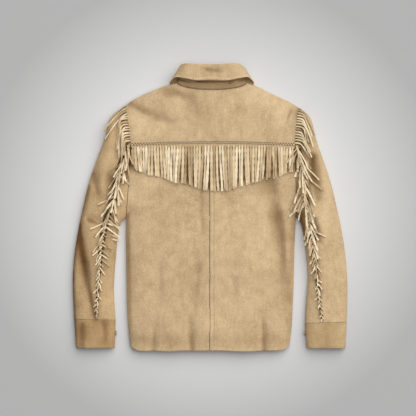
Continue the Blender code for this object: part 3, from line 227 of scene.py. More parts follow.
PAINTED_SHADING = [  # painted shade where the depth is positive and painted highlight where it is negative; the same columns as the creases
    Crease(-0.300, 0.084, -0.290, 0.026, 0.000, 0.0080, 0.55),  # left sleeve
    Crease(-0.316, 0.050, -0.340, -0.080, 0.002, 0.0075, 0.60),
    Crease(-0.340, -0.050, -0.296, -0.292, 0.004, 0.0085, 0.85),
    Crease(-0.345, -0.020, -0.357, -0.190, 0.000, 0.0080, 0.85),
    Crease(-0.357, -0.170, -0.350, -0.370, 0.000, 0.0065, 0.85),
    Crease(-0.332, -0.090, -0.332, -0.260, 0.000, 0.0150, 0.28),
    Crease(-0.314, -0.034, -0.281, -0.048, 0.000, 0.0055, 0.60),
    Crease(-0.226, 0.250, -0.213, 0.160, 0.004, 0.0100, 0.72),
    Crease(-0.213, 0.165, -0.222, 0.060, 0.000, 0.0075, 0.55),
    Crease(-0.252, 0.070, -0.256, -0.062, 0.004, 0.0130, 0.72),
    Crease(-0.276, -0.090, -0.283, -0.160, 0.000, 0.0070, 0.40),
    Crease(-0.288, -0.200, -0.292, -0.280, 0.000, 0.0055, 0.45),
    Crease(-0.329, -0.306, -0.331, -0.366, 0.000, 0.0095, 0.50),  # left cuff
    Crease(-0.272, -0.300, -0.270, -0.355, 0.000, 0.0085, 0.45),
    Crease(0.235, 0.240, 0.244, 0.130, 0.003, 0.0130, 0.80),  # right sleeve
    Crease(0.266, 0.128, 0.280, 0.024, 0.005, 0.0145, 0.95),
    Crease(0.232, 0.110, 0.230, 0.010, 0.000, 0.0070, 0.80),
    Crease(0.236, -0.020, 0.258, -0.092, 0.006, 0.0130, 0.95),
    Crease(0.266, -0.040, 0.282, -0.086, 0.000, 0.0080, 0.85),
    Crease(0.262, -0.100, 0.281, -0.180, 0.000, 0.0080, 0.50),
    Crease(0.282, -0.185, 0.286, -0.288, 0.000, 0.0055, 0.60),
    Crease(0.292, -0.004, 0.308, -0.085, 0.004, 0.0100, -0.40),
    Crease(0.300, -0.305, 0.301, -0.372, 0.000, 0.0110, 0.16),
    Crease(0.150, 0.085, 0.176, -0.015, -0.003, 0.0120, 0.46, 2.4),  # right side of the body
    Crease(0.181, -0.020, 0.199, -0.240, -0.002, 0.0090, 0.54, 2.2),
    Crease(0.213, -0.040, 0.205, -0.350, 0.000, 0.0090, 0.28),
    Crease(0.150, 0.120, 0.205, 0.090, 0.000, 0.0120, 0.18),
    Crease(-0.212, -0.020, -0.207, -0.370, 0.000, 0.0045, 0.45),  # left edge of the body
    Crease(-0.020, 0.048, -0.019, -0.070, 0.001, 0.0055, 0.34),  # beside the centre seam
    Crease(0.006, 0.060, 0.006, -0.330, 0.000, 0.0040, -0.25),
    Crease(-0.129, 0.040, -0.131, -0.040, 0.000, 0.0080, 0.12),
    Crease(-0.124, -0.150, -0.124, -0.250, 0.002, 0.0085, 0.17),
    Crease(-0.030, -0.150, -0.042, -0.300, -0.003, 0.0120, 0.20),
    Crease(0.065, -0.185, 0.069, -0.262, 0.002, 0.0080, 0.15),
    Crease(-0.190, -0.345, 0.195, -0.350, 0.000, 0.0180, 0.20),  # hem
    Crease(0.140, -0.378, 0.136, -0.290, 0.002, 0.0055, 0.48),
    Crease(-0.048, -0.378, -0.053, -0.285, 0.002, 0.0065, 0.42),
    Crease(-0.146, -0.378, -0.142, -0.305, 0.000, 0.0060, 0.25),
    Crease(0.165, -0.330, 0.190, -0.350, 0.000, 0.0120, 0.16),
    Crease(-0.205, 0.266, -0.095, 0.218, 0.003, 0.0110, 0.52),  # yoke
    Crease(-0.190, 0.222, -0.150, 0.186, 0.000, 0.0220, -0.85),
    Crease(0.170, 0.235, 0.212, 0.180, 0.000, 0.0120, -0.35),
    Crease(-0.110, 0.298, -0.045, 0.282, 0.000, 0.0130, 0.42),
    Crease(-0.045, 0.262, 0.000, 0.222, 0.000, 0.0220, 0.17),
    Crease(0.210, 0.248, 0.192, 0.190, 0.003, 0.0045, 0.30),
    Crease(0.005, 0.146, -0.203, 0.146, 0.000, 0.0110, 0.80),  # painted shade under the yoke fringe, standing for the strands' shadow
    Crease(0.005, 0.146, 0.213, 0.146, 0.000, 0.0110, 0.80),
    Crease(0.005, 0.118, -0.203, 0.134, 0.000, 0.0130, 0.95),
    Crease(0.005, 0.118, 0.213, 0.132, 0.000, 0.0130, 0.95),
    Crease(0.005, 0.089, -0.203, 0.122, 0.000, 0.0130, 0.95),
    Crease(0.005, 0.089, 0.213, 0.118, 0.000, 0.0130, 0.95),
    Crease(0.005, 0.058, -0.203, 0.109, 0.000, 0.0110, 0.95),
    Crease(0.005, 0.055, 0.213, 0.102, 0.000, 0.0110, 0.95),
    Crease(-0.010, 0.353, 0.030, 0.350, 0.001, 0.0055, 0.42),  # collar leaf: painted shade in its crease and a painted highlight along its edge
    Crease(-0.064, 0.368, -0.080, 0.340, 0.000, 0.0055, 0.25),
    Crease(-0.088, 0.3365, -0.040, 0.3290, 0.001, 0.0022, -0.80),
    Crease(-0.040, 0.3290, 0.050, 0.3290, -0.003, 0.0022, -0.80),
    Crease(0.050, 0.3290, 0.098, 0.3365, -0.001, 0.0022, -0.80),
    Crease(-0.082, 0.3280, -0.040, 0.3215, 0.001, 0.0026, 0.90),  # collar stand, painted shadow under the leaf's edge
    Crease(-0.040, 0.3215, 0.050, 0.3215, -0.003, 0.0026, 0.90),
    Crease(0.050, 0.3215, 0.092, 0.3280, -0.001, 0.0026, 0.90),
]
DIP_WIDTH = 0.0013  # how the cloth turns in beside a sewn seam
DIP_DEPTH = 0.0006
STROKE_WAVER = 0.25  # share by which a stroke gets wider and narrower along its length
STROKE_WAVES = 7
STROKE_PHASE = 40
STROKE_FADE = 0.55  # share of its depth that a stroke loses up to its end
WALL_TURN = 0.5  # cosine over which the wall towards -X passes into the other one
UNEVENNESS = ((0.0007, 0.045, 0.080, 3), (0.00035, 0.018, 0.030, 4))  # depth, wavelengths and seed
NOISE_CELLS = 64
NOISE_SHIFT = 31.0

CollarRow = namedtuple("CollarRow", "angle fold_x fold_y fold_z edge_x edge_y edge_z roll")
COLLAR = [
    CollarRow(0, 0.000, 0.3664, 0.0460, 0.000, 0.3237, 0.0510, 0.0030),
    CollarRow(28, 0.037, 0.3668, 0.0460, 0.041, 0.3253, 0.0510, 0.0030),
    CollarRow(50, 0.0575, 0.3682, 0.0445, 0.071, 0.3310, 0.0500, 0.0030),
    CollarRow(70, 0.0700, 0.3672, 0.0390, 0.093, 0.3336, 0.0440, 0.0030),
    CollarRow(90, 0.0780, 0.3605, 0.0270, 0.1045, 0.3255, 0.0300, 0.0030),
    CollarRow(97, 0.0785, 0.3555, 0.0215, 0.1080, 0.3225, 0.0180, 0.0028),
    CollarRow(103, 0.0780, 0.3490, 0.0175, 0.1085, 0.3185, 0.0080, 0.0026),
    CollarRow(109, 0.0770, 0.3420, 0.0148, 0.1070, 0.3060, 0.0031, 0.0026),
    CollarRow(120, 0.0700, 0.3260, 0.0112, 0.1000, 0.2760, 0.0015, 0.0026),
    CollarRow(150, 0.0400, 0.2910, 0.0090, 0.0800, 0.2300, 0.0012, 0.0026),
    CollarRow(177, 0.0090, 0.2760, 0.0088, 0.0540, 0.2060, 0.0012, 0.0026),
]
STAND_SHARE = 0.60
LEAF_ARCH = 3  # power of the curve in which the leaf comes down to its edge
LEAF_SMOOTH_SHARE = 0.25  # from this share of its length the leaf has its full creases
FOLD_DRAWN_IN = 0.17  # the roll of the collar is narrower on its right side

# Fringe
FRINGE_PLY = 0.0012
YOKE_STRANDS = 58
YOKE_FRINGE_INSET = 0.0020
YOKE_STRIP_WIDTH = 0.0066
YOKE_STRIP_DROP = 0.0086
YOKE_STRIP_POINTS = 150
YOKE_STRIP_TONE = 2
YOKE_SHADE_DROP = 0.0140  # a thin strip of painted shade shows between the strands where they start
YOKE_SHADE_PLY = 0.0004
YOKE_ROOT_DROP = 0.0092
YOKE_ROOT_STRAY = 0.0004
YOKE_TIP_STRAY = 0.0022
YOKE_CLUMPS = ((0.045, 0.62, 1.1), (0.03, 0.23, 0.0))  # waves of the heading: size, speed and phase
YOKE_ZIGZAG = 0.02
YOKE_ROOT_LEAN = 0.3  # share of its heading that a strand has at its root
STRAY_SHARE = 0.25  # share of the strands that stray far
STRAY_FAR = 0.09
STRAY_NEAR = 0.02
STRAY_RETURN = 0.6
LEFT_END_CURL = 0.22  # the first strands at the left end curl in at their tips
LEFT_END_STRANDS = 5
YOKE_TIPS_X = (-0.200, -0.180, -0.066, -0.016, 0.008, 0.029, 0.088, 0.161, 0.204, 0.215)
YOKE_TIPS_Y = (0.097, 0.088, 0.057, 0.043, 0.041, 0.038, 0.054, 0.073, 0.086, 0.090)
ARMHOLE_STRANDS = 13
SLEEVE_STRANDS = 82
SLEEVE_FRINGE_BREAK = 0.005  # shares of the path from the shoulder to the cuff
SLEEVE_FRINGE_END = 0.98
SLEEVE_STRIP_INSET = 0.015
SLEEVE_STRIP_END = 0.985
SLEEVE_STRIP_POINTS = 110
SLEEVE_PITCH = (0.2, 0.8)  # a strand's root lies within this part of its own pitch
SLEEVE_CROWDING = 1.12  # power that crowds the strands towards the shoulder
SLEEVE_SPREAD = 0.26
SLEEVE_ROOT_SPREAD = 0.5
SLEEVE_TIP_SPREAD = 0.14
SLEEVE_LENGTHS = (0.72, 1.12)
SLEEVE_ROOT_OUT = 0.0016
SLEEVE_NARROWING = 0.25  # share of its width that a strand loses towards the cuff
SLEEVE_NARROW_FROM = (0.6, 0.8)
SIDE_STRIP_WIDTH = 0.007
SLEEVE_STRIP_WIDTHS = ((0.17, 0.60, 0.80, 1.0), (0.020, 0.017, 0.008, 0.005))  # by share of the path
FRINGE_OUT = 0.0040
ARMHOLE_FRINGE_END = 0.165
ARMHOLE_STRIP_POINTS = 30
ARMHOLE_PITCH = (0.35, 0.65)
ARMHOLE_ROOT_IN = 0.0050
ARMHOLE_ROOT_RISE = 0.0005
ARMHOLE_STRAY = 0.08
CLAW_LEAN = 0.85  # share of its heading that a claw keeps up to its bend
CLAW_REACHES = (0.010, 0.017)
CLAW_LENGTHS = (0.85, 1.1)
CLAW_BENDS = (0.7, 1.7)  # where the bend starts and ends, in reaches
PATH_START = 0.012
PATH_START_ROW = 0.25
PATH_ARMHOLE_POINTS = 16
PATH_SLEEVE_POINTS = 60
CELL = 0.0015  # grid of the pile that strands are laid on
PILE_HEIGHT = 0.014  # how far the pile can rise over the cloth, pressed together more and more
OPEN_LEVEL = 0.026  # what the pile is pressed towards between a sleeve and the body
STRAND_STEP = 0.0035
STRAND_SLOPE = 0.32  # how steeply a strand bends down from what holds it up
STRAND_AIR = 0.0003
STRAND_LEAST_STEPS = 4
STRAND_BENDS = (0, 0.35, 1)  # shares of a strand's length at which its headings are given
STRAND_PROBES = (-0.45, 0, 0.45)  # places across a strand, in widths, at which something may hold it up
STRIP_PROBES = (-0.4, 0, 0.4)
STRAND_PRINT = (-0.45, -0.2, 0, 0.2, 0.45)  # places across a strand, in widths, that raise the pile
STRAND_WAVER = 0.10
STRAND_WAVES = 1.3
STRAND_PHASE = 40
ROOT_WIDTH = 0.70  # share of its width that a strand has at its root
ROOT_WIDENING = 0.30
ROOT_SHARE = 0.15
TWIST_SPEEDS = (0.6, 1.8)
TWIST_SIZES = (0.2, 1)
TWIST_FREE_SHARE = 0.25
SEAM_REACH = 0.0006  # how far beside a seam's gap the cloth is looked for
LOOK_DOWN_FROM = 0.2
LOOK_UP_FROM = -0.05
SEED = 11

Strand = namedtuple("Strand", "widths twist tones curls")  # tones are the odds of the three tones
YOKE_STRAND = Strand((0.0056, 0.0070), 0.8, (0.36, 0.46, 0.18), (0.0010, 0.0032))
SLEEVE_STRAND = Strand((0.0036, 0.0054), 1.1, (0.48, 0.32, 0.20), (0.001, 0.005))
ARMHOLE_STRAND = Strand((0.0034, 0.0044), 0.9, (0.50, 0.35, 0.15), (0.001, 0.005))

Lay = namedtuple("Lay", "share length out_root out_tip in_root in_tip")
LEFT_LAY = [  # headings in radians from straight down, outwards from the body
    Lay(0.17, 0.062, 0.25, 0.02, -0.35, -0.10),
    Lay(0.28, 0.056, 0.35, 0.12, -0.40, -0.12),
    Lay(0.40, 0.052, 0.45, 0.20, -0.50, -0.20),
    Lay(0.50, 0.048, 0.60, 0.35, -0.70, -0.45),
    Lay(0.60, 0.045, 0.70, 0.45, -0.95, -0.80),
    Lay(0.68, 0.036, 0.60, 0.35, -0.95, -0.75),
    Lay(0.76, 0.026, 0.50, 0.35, -0.70, -0.45),
    Lay(0.86, 0.018, 0.75, 0.60, -0.55, -0.35),
    Lay(1.00, 0.010, 0.80, 0.60, -0.55, -0.40),
]
RIGHT_LAY = [
    Lay(0.17, 0.062, 0.70, 0.25, -0.45, -0.10),
    Lay(0.28, 0.060, 0.60, 0.30, -0.40, -0.05),
    Lay(0.34, 0.064, 0.50, 0.22, -0.72, -0.10),
    Lay(0.42, 0.064, 0.50, 0.20, -0.80, -0.12),
    Lay(0.50, 0.054, 0.50, 0.25, -0.55, 0.00),
    Lay(0.60, 0.046, 0.50, 0.30, -0.50, -0.10),
    Lay(0.68, 0.036, 0.50, 0.25, -0.50, -0.25),
    Lay(0.76, 0.026, 0.50, 0.30, -0.50, -0.25),
    Lay(0.86, 0.018, 0.60, 0.40, -0.50, -0.30),
    Lay(1.00, 0.010, 0.60, 0.40, -0.50, -0.30),
]

Claw = namedtuple("Claw", "down root hang tip length")
LEFT_CLAWS = [  # armhole strands from the shoulder down: headings at root, middle and tip
    Claw(0.00, 1.15, 0.70, 0.62, 0.090),
    Claw(0.18, 1.20, 0.66, 0.50, 0.086),
    Claw(0.26, 1.60, 0.12, 0.02, 0.098),
    Claw(1.00, 1.60, 0.04, -0.06, 0.074),
]
RIGHT_CLAWS = [
    Claw(0.00, 1.50, 0.42, 0.30, 0.086),
    Claw(0.50, 1.60, 0.30, 0.16, 0.074),
    Claw(1.00, 1.60, 0.62, 0.50, 0.062),
]

# Lacing, stitches and buttons
LACE_PITCH = 0.0071
LACE_WIDTH = 0.0021
LACE_PLY = 0.0013
LACE_SLANT = 0.0036
LACE_RISE = 0.0026
# width of the strip of painted shade under the lacing
LACE_GAP_WIDTH = 0.0060
LACE_DROP = 0.0022
LACE_INSET = 0.004
LACE_STEPS = 7
LACE_ARCH = 1.15  # how high a lace arches, and how deep its ends go in, in plies
LACE_SINK = 0.15
LACE_END_WIDTH = 0.75
LACE_WIDENING = 0.25
LACE_AIR = 0.0002
# the strip of painted shade under the lacing
SHADE_STRIP_INSET = 0.003
SHADE_STRIP_POINTS = 180
SHADE_STRIP_REACH = 0.0022
SHADE_STRIP_PLY = 0.0003
THREAD_RADIUS = 0.00035
THREAD_STEP = 0.0034
THREAD_SHARE = 0.68
THREAD_START = 0.15
THREAD_JUMP = 0.003  # a stitch is left out where the cloth under it jumps by more
THREAD_SECTIONS = ((0, 0.5, -0.3), (0.25, 1.0, 0.5), (0.75, 1.0, 0.5), (1, 0.5, -0.3))  # share, size, lift
SEAM_THREAD_OUT = 0.0042
SEAM_THREAD_ENDS = (0.012, 0.016)
HEM_THREAD_X = (-0.185, 0.188)
HEM_THREAD_RISE = 0.011
NECK_THREAD_TURN = 78
NECK_THREAD_OUT = 0.0035
YOKE_THREAD_INSET = 0.006
YOKE_THREAD_RISE = 0.0075
ARMHOLE_THREAD_IN = 0.0085
ARMHOLE_THREAD_END = 0.03
CUFF_THREAD_SHARES = (0.05, 0.95)
CUFF_THREAD_OFFS = (0.0022, -0.0025, -0.0055)
CUFF_EDGE_THREAD_RISE = 0.0045
PLACKET_THREAD_OUT = 0.0145
PLACKET_THREAD_END = 0.006
STRAIGHT_LINE_POINTS = 200
CURVED_LINE_POINTS = 160
CUFF_LINE_POINTS = 120
ARMHOLE_LINE_POINTS = 80
BUTTON_RADIUS = 0.0072
BUTTON_DEPTH = 0.0026
BUTTON_SIDES = 40
BUTTON_PROFILE = (  # share of the radius, and level between the back and the rim
    (0.0, 0.62), (0.55, 0.62), (0.66, 0.70), (0.78, 1.0), (0.90, 1.0),
    (0.98, 0.82), (1.0, 0.50), (0.97, 0.12), (0.86, 0.0), (0.0, 0.0),
)
HOLES = 4
HOLE_OUT = 0.24  # in radii of the button, as the next one
HOLE_RADIUS = 0.10
HOLE_SIDES = 10
HOLE_DEPTH = 0.0004
HOLE_LEVEL = 0.14  # in depths of the button, from its middle
FRONT_BUTTONS = 7
FRONT_BUTTON_TOP_Y = 0.222
FRONT_BUTTON_STEP = 0.086
CUFF_BUTTON_RADIUS = 0.0062
CUFF_BUTTON_Y = -0.328
CUFF_BUTTON_OUT = 0.0008

# How finely the cloth is divided
UPRIGHT_SHARE = 0.004
ROUND_STEPS = 11
FRONT_ROUND_STEPS = 6
BACK_ROWS = 200
BACK_COLUMNS = 58
NEAR_SEAM = (-0.0060, -0.0042, -0.0028, -0.0018, -0.0010, -0.0005, 0.0)  # columns beside the centre seam
YOKE_ROWS = 40
SHOULDER_COLUMNS = 46
NECK_COLUMNS = 40
NECK_BLEND = 10  # columns past the neck point over which the rows open up
FRONT_ROWS = 60
FRONT_NECK_COLUMNS = 36
FRONT_TURNS = (90, 92, 95, 99, 104, 110, 117, 125, 135, 150, 166.5, 180)
FRONT_MORPH = 0.45
SLEEVE_ROWS = 190
SLEEVE_COLUMNS = 26
SIDE_FOLD_POINTS = 90
SHOULDER_FOLD_POINTS = 70
CUFF_ROWS = 30
CUFF_TOP_COLUMNS = 22
CUFF_UNDER_COLUMNS = 14
COLLAR_RUNS = ((0, 86, 40), (88, 112, 21), (114.5, 177, 24))  # from and to in degrees, and how many sections
STAND_STEPS = 8
BEND_STEPS = 5
ROLL_STEPS = 9
LEAF_STEPS = 20
BAND_COLUMNS = 9
BAND_ROWS = 61

# Flat size of each cut, and its flat area, in metres
Cut = namedtuple("Cut", "width length area")
CUTS = {
    "back_left": Cut(0.240, 0.560, 0.1270),
    "back_right": Cut(0.240, 0.560, 0.1240),
    "back_yoke": Cut(0.470, 0.185, 0.0605),
    "front_left": Cut(0.260, 0.700, 0.1550),
    "front_right": Cut(0.260, 0.700, 0.1520),
    "front_band": Cut(0.034, 0.606, 0.0206),
    "sleeve_left_top": Cut(0.200, 0.570, 0.0830),
    "sleeve_left_under": Cut(0.125, 0.390, 0.0325),
    "sleeve_right_top": Cut(0.200, 0.570, 0.0815),
    "sleeve_right_under": Cut(0.125, 0.390, 0.0280),
    "cuff_left": Cut(0.272, 0.076, 0.0203),
    "cuff_right": Cut(0.272, 0.068, 0.0183),
    "collar_stand": Cut(0.450, 0.036, 0.0115),
    "collar_leaf": Cut(0.560, 0.085, 0.0355),
}

# Colours (linear)
BODY_LIGHT = (0.688, 0.508, 0.302)
BODY_DARK = (0.402, 0.279, 0.149)
# a darker copy of the body's suede on the left sleeve, as painted shade
SHADED_LEFT_SLEEVE_LIGHT = (0.640, 0.455, 0.252)
SHADED_LEFT_SLEEVE_DARK = (0.375, 0.248, 0.126)
CUFF_LIGHT = (0.600, 0.425, 0.232)
CUFF_DARK = (0.360, 0.238, 0.120)
# a darker copy of the cuff's suede on the left cuff, as painted shade
SHADED_LEFT_CUFF_LIGHT = (0.520, 0.345, 0.172)
SHADED_LEFT_CUFF_DARK = (0.300, 0.185, 0.086)
# a darker copy of the suede on the stand, as painted shade for the leaf's shadow
SHADED_STAND_LIGHT = (0.420, 0.280, 0.150)
SHADED_STAND_DARK = (0.270, 0.170, 0.085)
PAINTED_SHADING_TINT = (0.36, 0.26, 0.17)  # what is left of the colour under full painted shade
STRAND_TONES = (
    ((0.960, 0.830, 0.600), (0.760, 0.610, 0.395)),
    ((0.830, 0.680, 0.455), (0.640, 0.480, 0.285)),
    ((0.640, 0.480, 0.285), (0.450, 0.315, 0.170)),
    # the last two tones are painted shade
    ((0.300, 0.200, 0.110), (0.200, 0.125, 0.065)),
    ((0.110, 0.065, 0.032), (0.070, 0.040, 0.020)),
)
CUT_EDGE_SHADE, STRIP_SHADE = 3, 4  # tones with painted shade: a strand's cut sides, darkened for the shade between strands, and the strip painted dark for the shade of the roots
LACE_COLOURS = ((0.930, 0.770, 0.530), (0.780, 0.610, 0.390))
# painted shade, for the strip under the lacing and for the button holes
PAINTED_SHADE_COLOURS = ((0.100, 0.058, 0.028), (0.055, 0.030, 0.015))
THREAD_COLOURS = ((0.600, 0.440, 0.260), (0.500, 0.360, 0.200))
BUTTON_COLOURS = ((0.420, 0.290, 0.165), (0.260, 0.170, 0.090))

# How the nap, the plain finishes and the floor look close up
Layer = namedtuple("Layer", "scale detail low high weight stretch", defaults=((1, 1, 1),))
MOTTLES = (
    Layer(11.0, 4.0, 0.36, 0.64, 0.30),  # wide mottling
    Layer(46.0, 5.0, 0.30, 0.70, 0.30),  # cloudy patches
    Layer(130.0, 3.0, 0.30, 0.70, 0.24, (1.0, 0.35, 1.0)),  # rubbed streaks
)
NAP = Layer(330.0, 4.0, 0.30, 0.70, 0.60)
NOISE_ROUGHNESS = 0.62
TONE_START = -0.20  # share of the light tone before the layers are added
# painted shade also pulls the mix towards the dark tone, and painted highlight towards the light one
PAINTED_SHADING_WEIGHT = -0.5
SUEDE_ROUGHNESS = (0.86, 0.98)
Bump = namedtuple("Bump", "scale detail strength distance")
PEBBLE = Bump(210.0, 3.0, 0.5, 0.0009)
GRAIN = Bump(900.0, 4.0, 0.55, 0.0005)
SHEEN = 0.22
SHEEN_ROUGHNESS = 0.55
SUEDE_SPECULAR = 0.12
PLAIN_DETAIL = 4.0
PLAIN_CONTRAST = (0.3, 0.7)
PLAIN_ROUGHENING = 0.12
PLAIN_BUMP = 0.0003
FLOOR_GRAIN = (300.0, 3.0)  # scale and detail of the noise that keeps the floor from banding
FLOOR_GRAIN_RANGE = 6.0
FLOOR_ROUGHNESS = 0.95
FLOOR_SPECULAR = 0.1

# Floor, light and camera
# a painted pool of light on the floor, bright in the middle and darker outwards
FLOOR_LIT_CENTRE = (0.900, 0.900, 0.900)
FLOOR_SHADED_EDGE = (0.425, 0.425, 0.425)
FLOOR_LIGHT_FALLOFF = (0.12, 0.63)  # painted light falloff: the floor is painted darker between these distances from the middle
FLOOR_SIZE = 12.0
FLOOR_DROP = 0.0002
KEY_FROM = (0.37, 0.44, 0.80)
KEY_SPREAD = 1.35  # radians, as wide as a wall of soft boxes
KEY_STRENGTH = 2.75
KEY_COLOUR = (1.0, 0.99, 0.97)
TOP_PLACE = (0.10, 0.25, 1.95)
TOP_SIZE = 1.1
TOP_POWER = 5.0
TOP_COLOUR = (0.97, 0.985, 1.0)
WORLD_STRENGTH = 0.27
WORLD_COLOUR = (0.95, 0.97, 1.0)
SENSOR_WIDTH = 36.0
CAMERA_HEIGHT = 6.0
VIEW_WIDTH = 1.0816
VIEW_CENTRE = (-0.0052, -0.0039)


def smooth_step(low, high, value):
    share = np.clip((np.asarray(value, float) - low) / (high - low), 0.0, 1.0)
    return share * share * (3 - 2 * share)


def rise(share):
    """Quarter circle from 0 at a fold to 1, flat from there on."""
    return np.sqrt(np.clip(1 - (1 - np.clip(share, 0.0, 1.0)) ** 2, 0.0, 1.0))


def smooth_curve(keys, values):
    """A smooth function through the values at rising keys."""
    keys, values = np.asarray(keys, float), np.asarray(values, float)
    slopes = np.gradient(values, keys)

    def at(key):
        key = np.clip(np.asarray(key, float), keys[0], keys[-1])
        i = np.clip(np.searchsorted(keys, key, side="right") - 1, 0, len(keys) - 2)
        span = keys[i + 1] - keys[i]
        s = (key - keys[i]) / span
        start = (1 + 2 * s) * (1 - s) ** 2 * values[i] + s * (1 - s) ** 2 * span * slopes[i]
        end = s * s * (3 - 2 * s) * values[i + 1] + s * s * (s - 1) * span * slopes[i + 1]
        return start + end

    return at


def column(table, name, key=None):
    """One column of a table as a smooth function of its row number, or of another column."""
    keys = [getattr(row, key) for row in table] if key else range(len(table))
    return smooth_curve(keys, [getattr(row, name) for row in table])


body_left = column(BODY, "left", "y")
body_right = column(BODY, "right", "y")
SIDES = {-1: ("left", body_left, LEFT_SLEEVE), 1: ("right", body_right, RIGHT_SLEEVE)}


def shoulder_fold(side, share):
    """The folded shoulder edge in plan, from the shoulder point (0) to the neck point (1)."""
    word = SIDES[side][0]
    x = column(SHOULDERS, word + "_x", "share")(share)
    y = column(SHOULDERS, word + "_y", "share")(share)
    return x, y


def fold_lines():
    """Each folded edge of the body as (points in plan, heights)."""
    lines = []
    for side, (_, edge, sleeve) in SIDES.items():
        y = np.linspace(FOLD_START_Y, sleeve[0].inner_y, SIDE_FOLD_POINTS)
        lines.append((np.stack([edge(y), y], 1), np.full(len(y), SIDE_FOLD_HEIGHT)))
        share = np.linspace(0, 1, SHOULDER_FOLD_POINTS)
        across_neck = [[CENTRE_X + side * x, NECK_POINT_Y + rise_y] for x, rise_y in NECK_FOLD_REST]
        points = np.concatenate([np.stack(shoulder_fold(side, share), 1), across_neck])
        heights = SHOULDER_FOLD_HEIGHT + (NECK_FOLD_HEIGHT - SHOULDER_FOLD_HEIGHT) * share
        lines.append((points, np.concatenate([heights, [NECK_FOLD_HEIGHT] * len(across_neck)])))
    return lines


FOLD_LINES = fold_lines()


def nearest_on_line(x, y, points, heights):
    """Distance to a line in plan, and the line's height at the nearest place."""
    best = np.full(x.shape, np.inf)
    height = np.zeros(x.shape)
    for i in range(len(points) - 1):
        (ax, ay), (bx, by) = points[i], points[i + 1]
        dx, dy = bx - ax, by - ay
        s = np.clip(((x - ax) * dx + (y - ay) * dy) / (dx * dx + dy * dy), 0, 1)
        distance = np.hypot(x - ax - s * dx, y - ay - s * dy)
        closer = distance < best
        best = np.where(closer, distance, best)
        height = np.where(closer, heights[i] + s * (heights[i + 1] - heights[i]), height)
    return best, height


def nearest_fold(x, y):
    found = [nearest_on_line(x, y, points, heights) for points, heights in FOLD_LINES]
    distance = np.stack([f[0] for f in found])
    height = np.stack([f[1] for f in found])
    which = distance.argmin(0)[None]
    return np.take_along_axis(distance, which, 0)[0], np.take_along_axis(height, which, 0)[0]


def soft_noise(x, y, wave_x, wave_y, seed):
    """Smooth noise from -1 to 1 with the given wavelengths."""
    grid = np.random.default_rng(seed).uniform(-1, 1, (NOISE_CELLS, NOISE_CELLS))
    u, v = np.asarray(x, float) / wave_x + NOISE_SHIFT, np.asarray(y, float) / wave_y + NOISE_SHIFT
    i, j = np.floor(u).astype(int), np.floor(v).astype(int)
    s, t = smooth_step(0, 1, u - i), smooth_step(0, 1, v - j)
    i, j = i % NOISE_CELLS, j % NOISE_CELLS
    k, m = (i + 1) % NOISE_CELLS, (j + 1) % NOISE_CELLS
    low = grid[i, j] * (1 - s) + grid[k, j] * s
    high = grid[i, m] * (1 - s) + grid[k, m] * s
    return low * (1 - t) + high * t


def strokes(table, x, y):
    """Sum of a table's soft strokes at a place in plan."""
    total = np.zeros(np.shape(x))
    for stroke in table:
        dx, dy = stroke.x1 - stroke.x0, stroke.y1 - stroke.y0
        s = np.clip(((x - stroke.x0) * dx + (y - stroke.y0) * dy) / (dx * dx + dy * dy), 0, 1)
        length = math.hypot(dx, dy)
        bend = stroke.bow * np.sin(math.pi * s)
        middle_x = stroke.x0 + s * dx + bend * dy / length
        middle_y = stroke.y0 + s * dy - bend * dx / length
        off = np.hypot(x - middle_x, y - middle_y)
        leftward = smooth_step(-WALL_TURN, WALL_TURN, (middle_x - x) / (off + TINY))
        waver = 1 + STROKE_WAVER * np.sin(STROKE_WAVES * s + STROKE_PHASE * stroke.x0)
        wide = stroke.half_width * waver * (1 + (stroke.left - 1) * leftward)
        fade = 1 - STROKE_FADE * s * s
        total = total + stroke.depth * fade * np.exp(-((off / wide) ** 2))
    return total


def relief(x, y):
    """How far the cloth sinks into its creases at a place in plan, with a slight unevenness all over."""
    x, y = np.asarray(x, float), np.asarray(y, float)
    uneven = sum(depth * soft_noise(x, y, *waves_and_seed) for depth, *waves_and_seed in UNEVENNESS)
    return uneven + strokes(CREASES, x, y)


def back_height(x, y):
    """Upper side of the back, as if it had no armholes."""
    x, y = np.asarray(x, float), np.asarray(y, float)
    distance, fold = nearest_fold(x, y)
    across = np.clip(np.abs(x - CENTRE_X) / CROWN_HALF_WIDTH, 0, 1)
    crown = CROWN_ARMHOLE + (CROWN_MIDDLE - CROWN_ARMHOLE) * (1 - across**2)
    low = 1 - smooth_step(HEM_Y, HEM_CROWN_END_Y, y)
    crown = crown * (1 - (1 - HEM_CROWN_SHARE) * low)
    up = rise(distance / BACK_ROUND)
    return fold + (crown - fold) * up - relief(x, y) * up


def placket_lift(x, lift):
    """How far a front is lifted over the button band."""
    return lift * (1 - smooth_step(FLAT_REACH, FLAT_REACH + LAP_FADE, np.abs(x - CENTRE_X)))


def front_height(x, y, side):
    """Lower side of a front: flat on the table, but lifted over the collar leaf and the button band."""
    x, y = np.asarray(x, float), np.asarray(y, float)
    distance, fold = nearest_fold(x, y)
    near_neck = 1 - smooth_step(*COLLAR_LIFT_X, np.abs(x - CENTRE_X))
    collar = COLLAR_LIFT * near_neck * smooth_step(*COLLAR_LIFT_Y, y)
    lift = PLACKET_LIFT if side < 0 else LAP_LIFT
    low = np.maximum(collar, placket_lift(x, lift))
    return low + (fold - low) * (1 - rise(distance / FRONT_ROUND))


def neck_ring(angle):
    """The neck seam in plan: 0 at centre back, 90 at the neck points, 180 at centre front (degrees)."""
    turn = np.radians(angle)
    x = CENTRE_X + NECK_HALF_WIDTH * np.sin(turn)
    drop = np.where(np.cos(turn) > 0, BACK_NECK_DROP, FRONT_NECK_DROP)
    return x, NECK_POINT_Y - drop * np.abs(np.cos(turn))


def neck_height(angle):
    x, y = neck_ring(angle)
    side = -1 if angle < 0 else 1
    if abs(angle) <= 90:
        return float(back_height(x, y))
    return float(front_height(x, y, side))


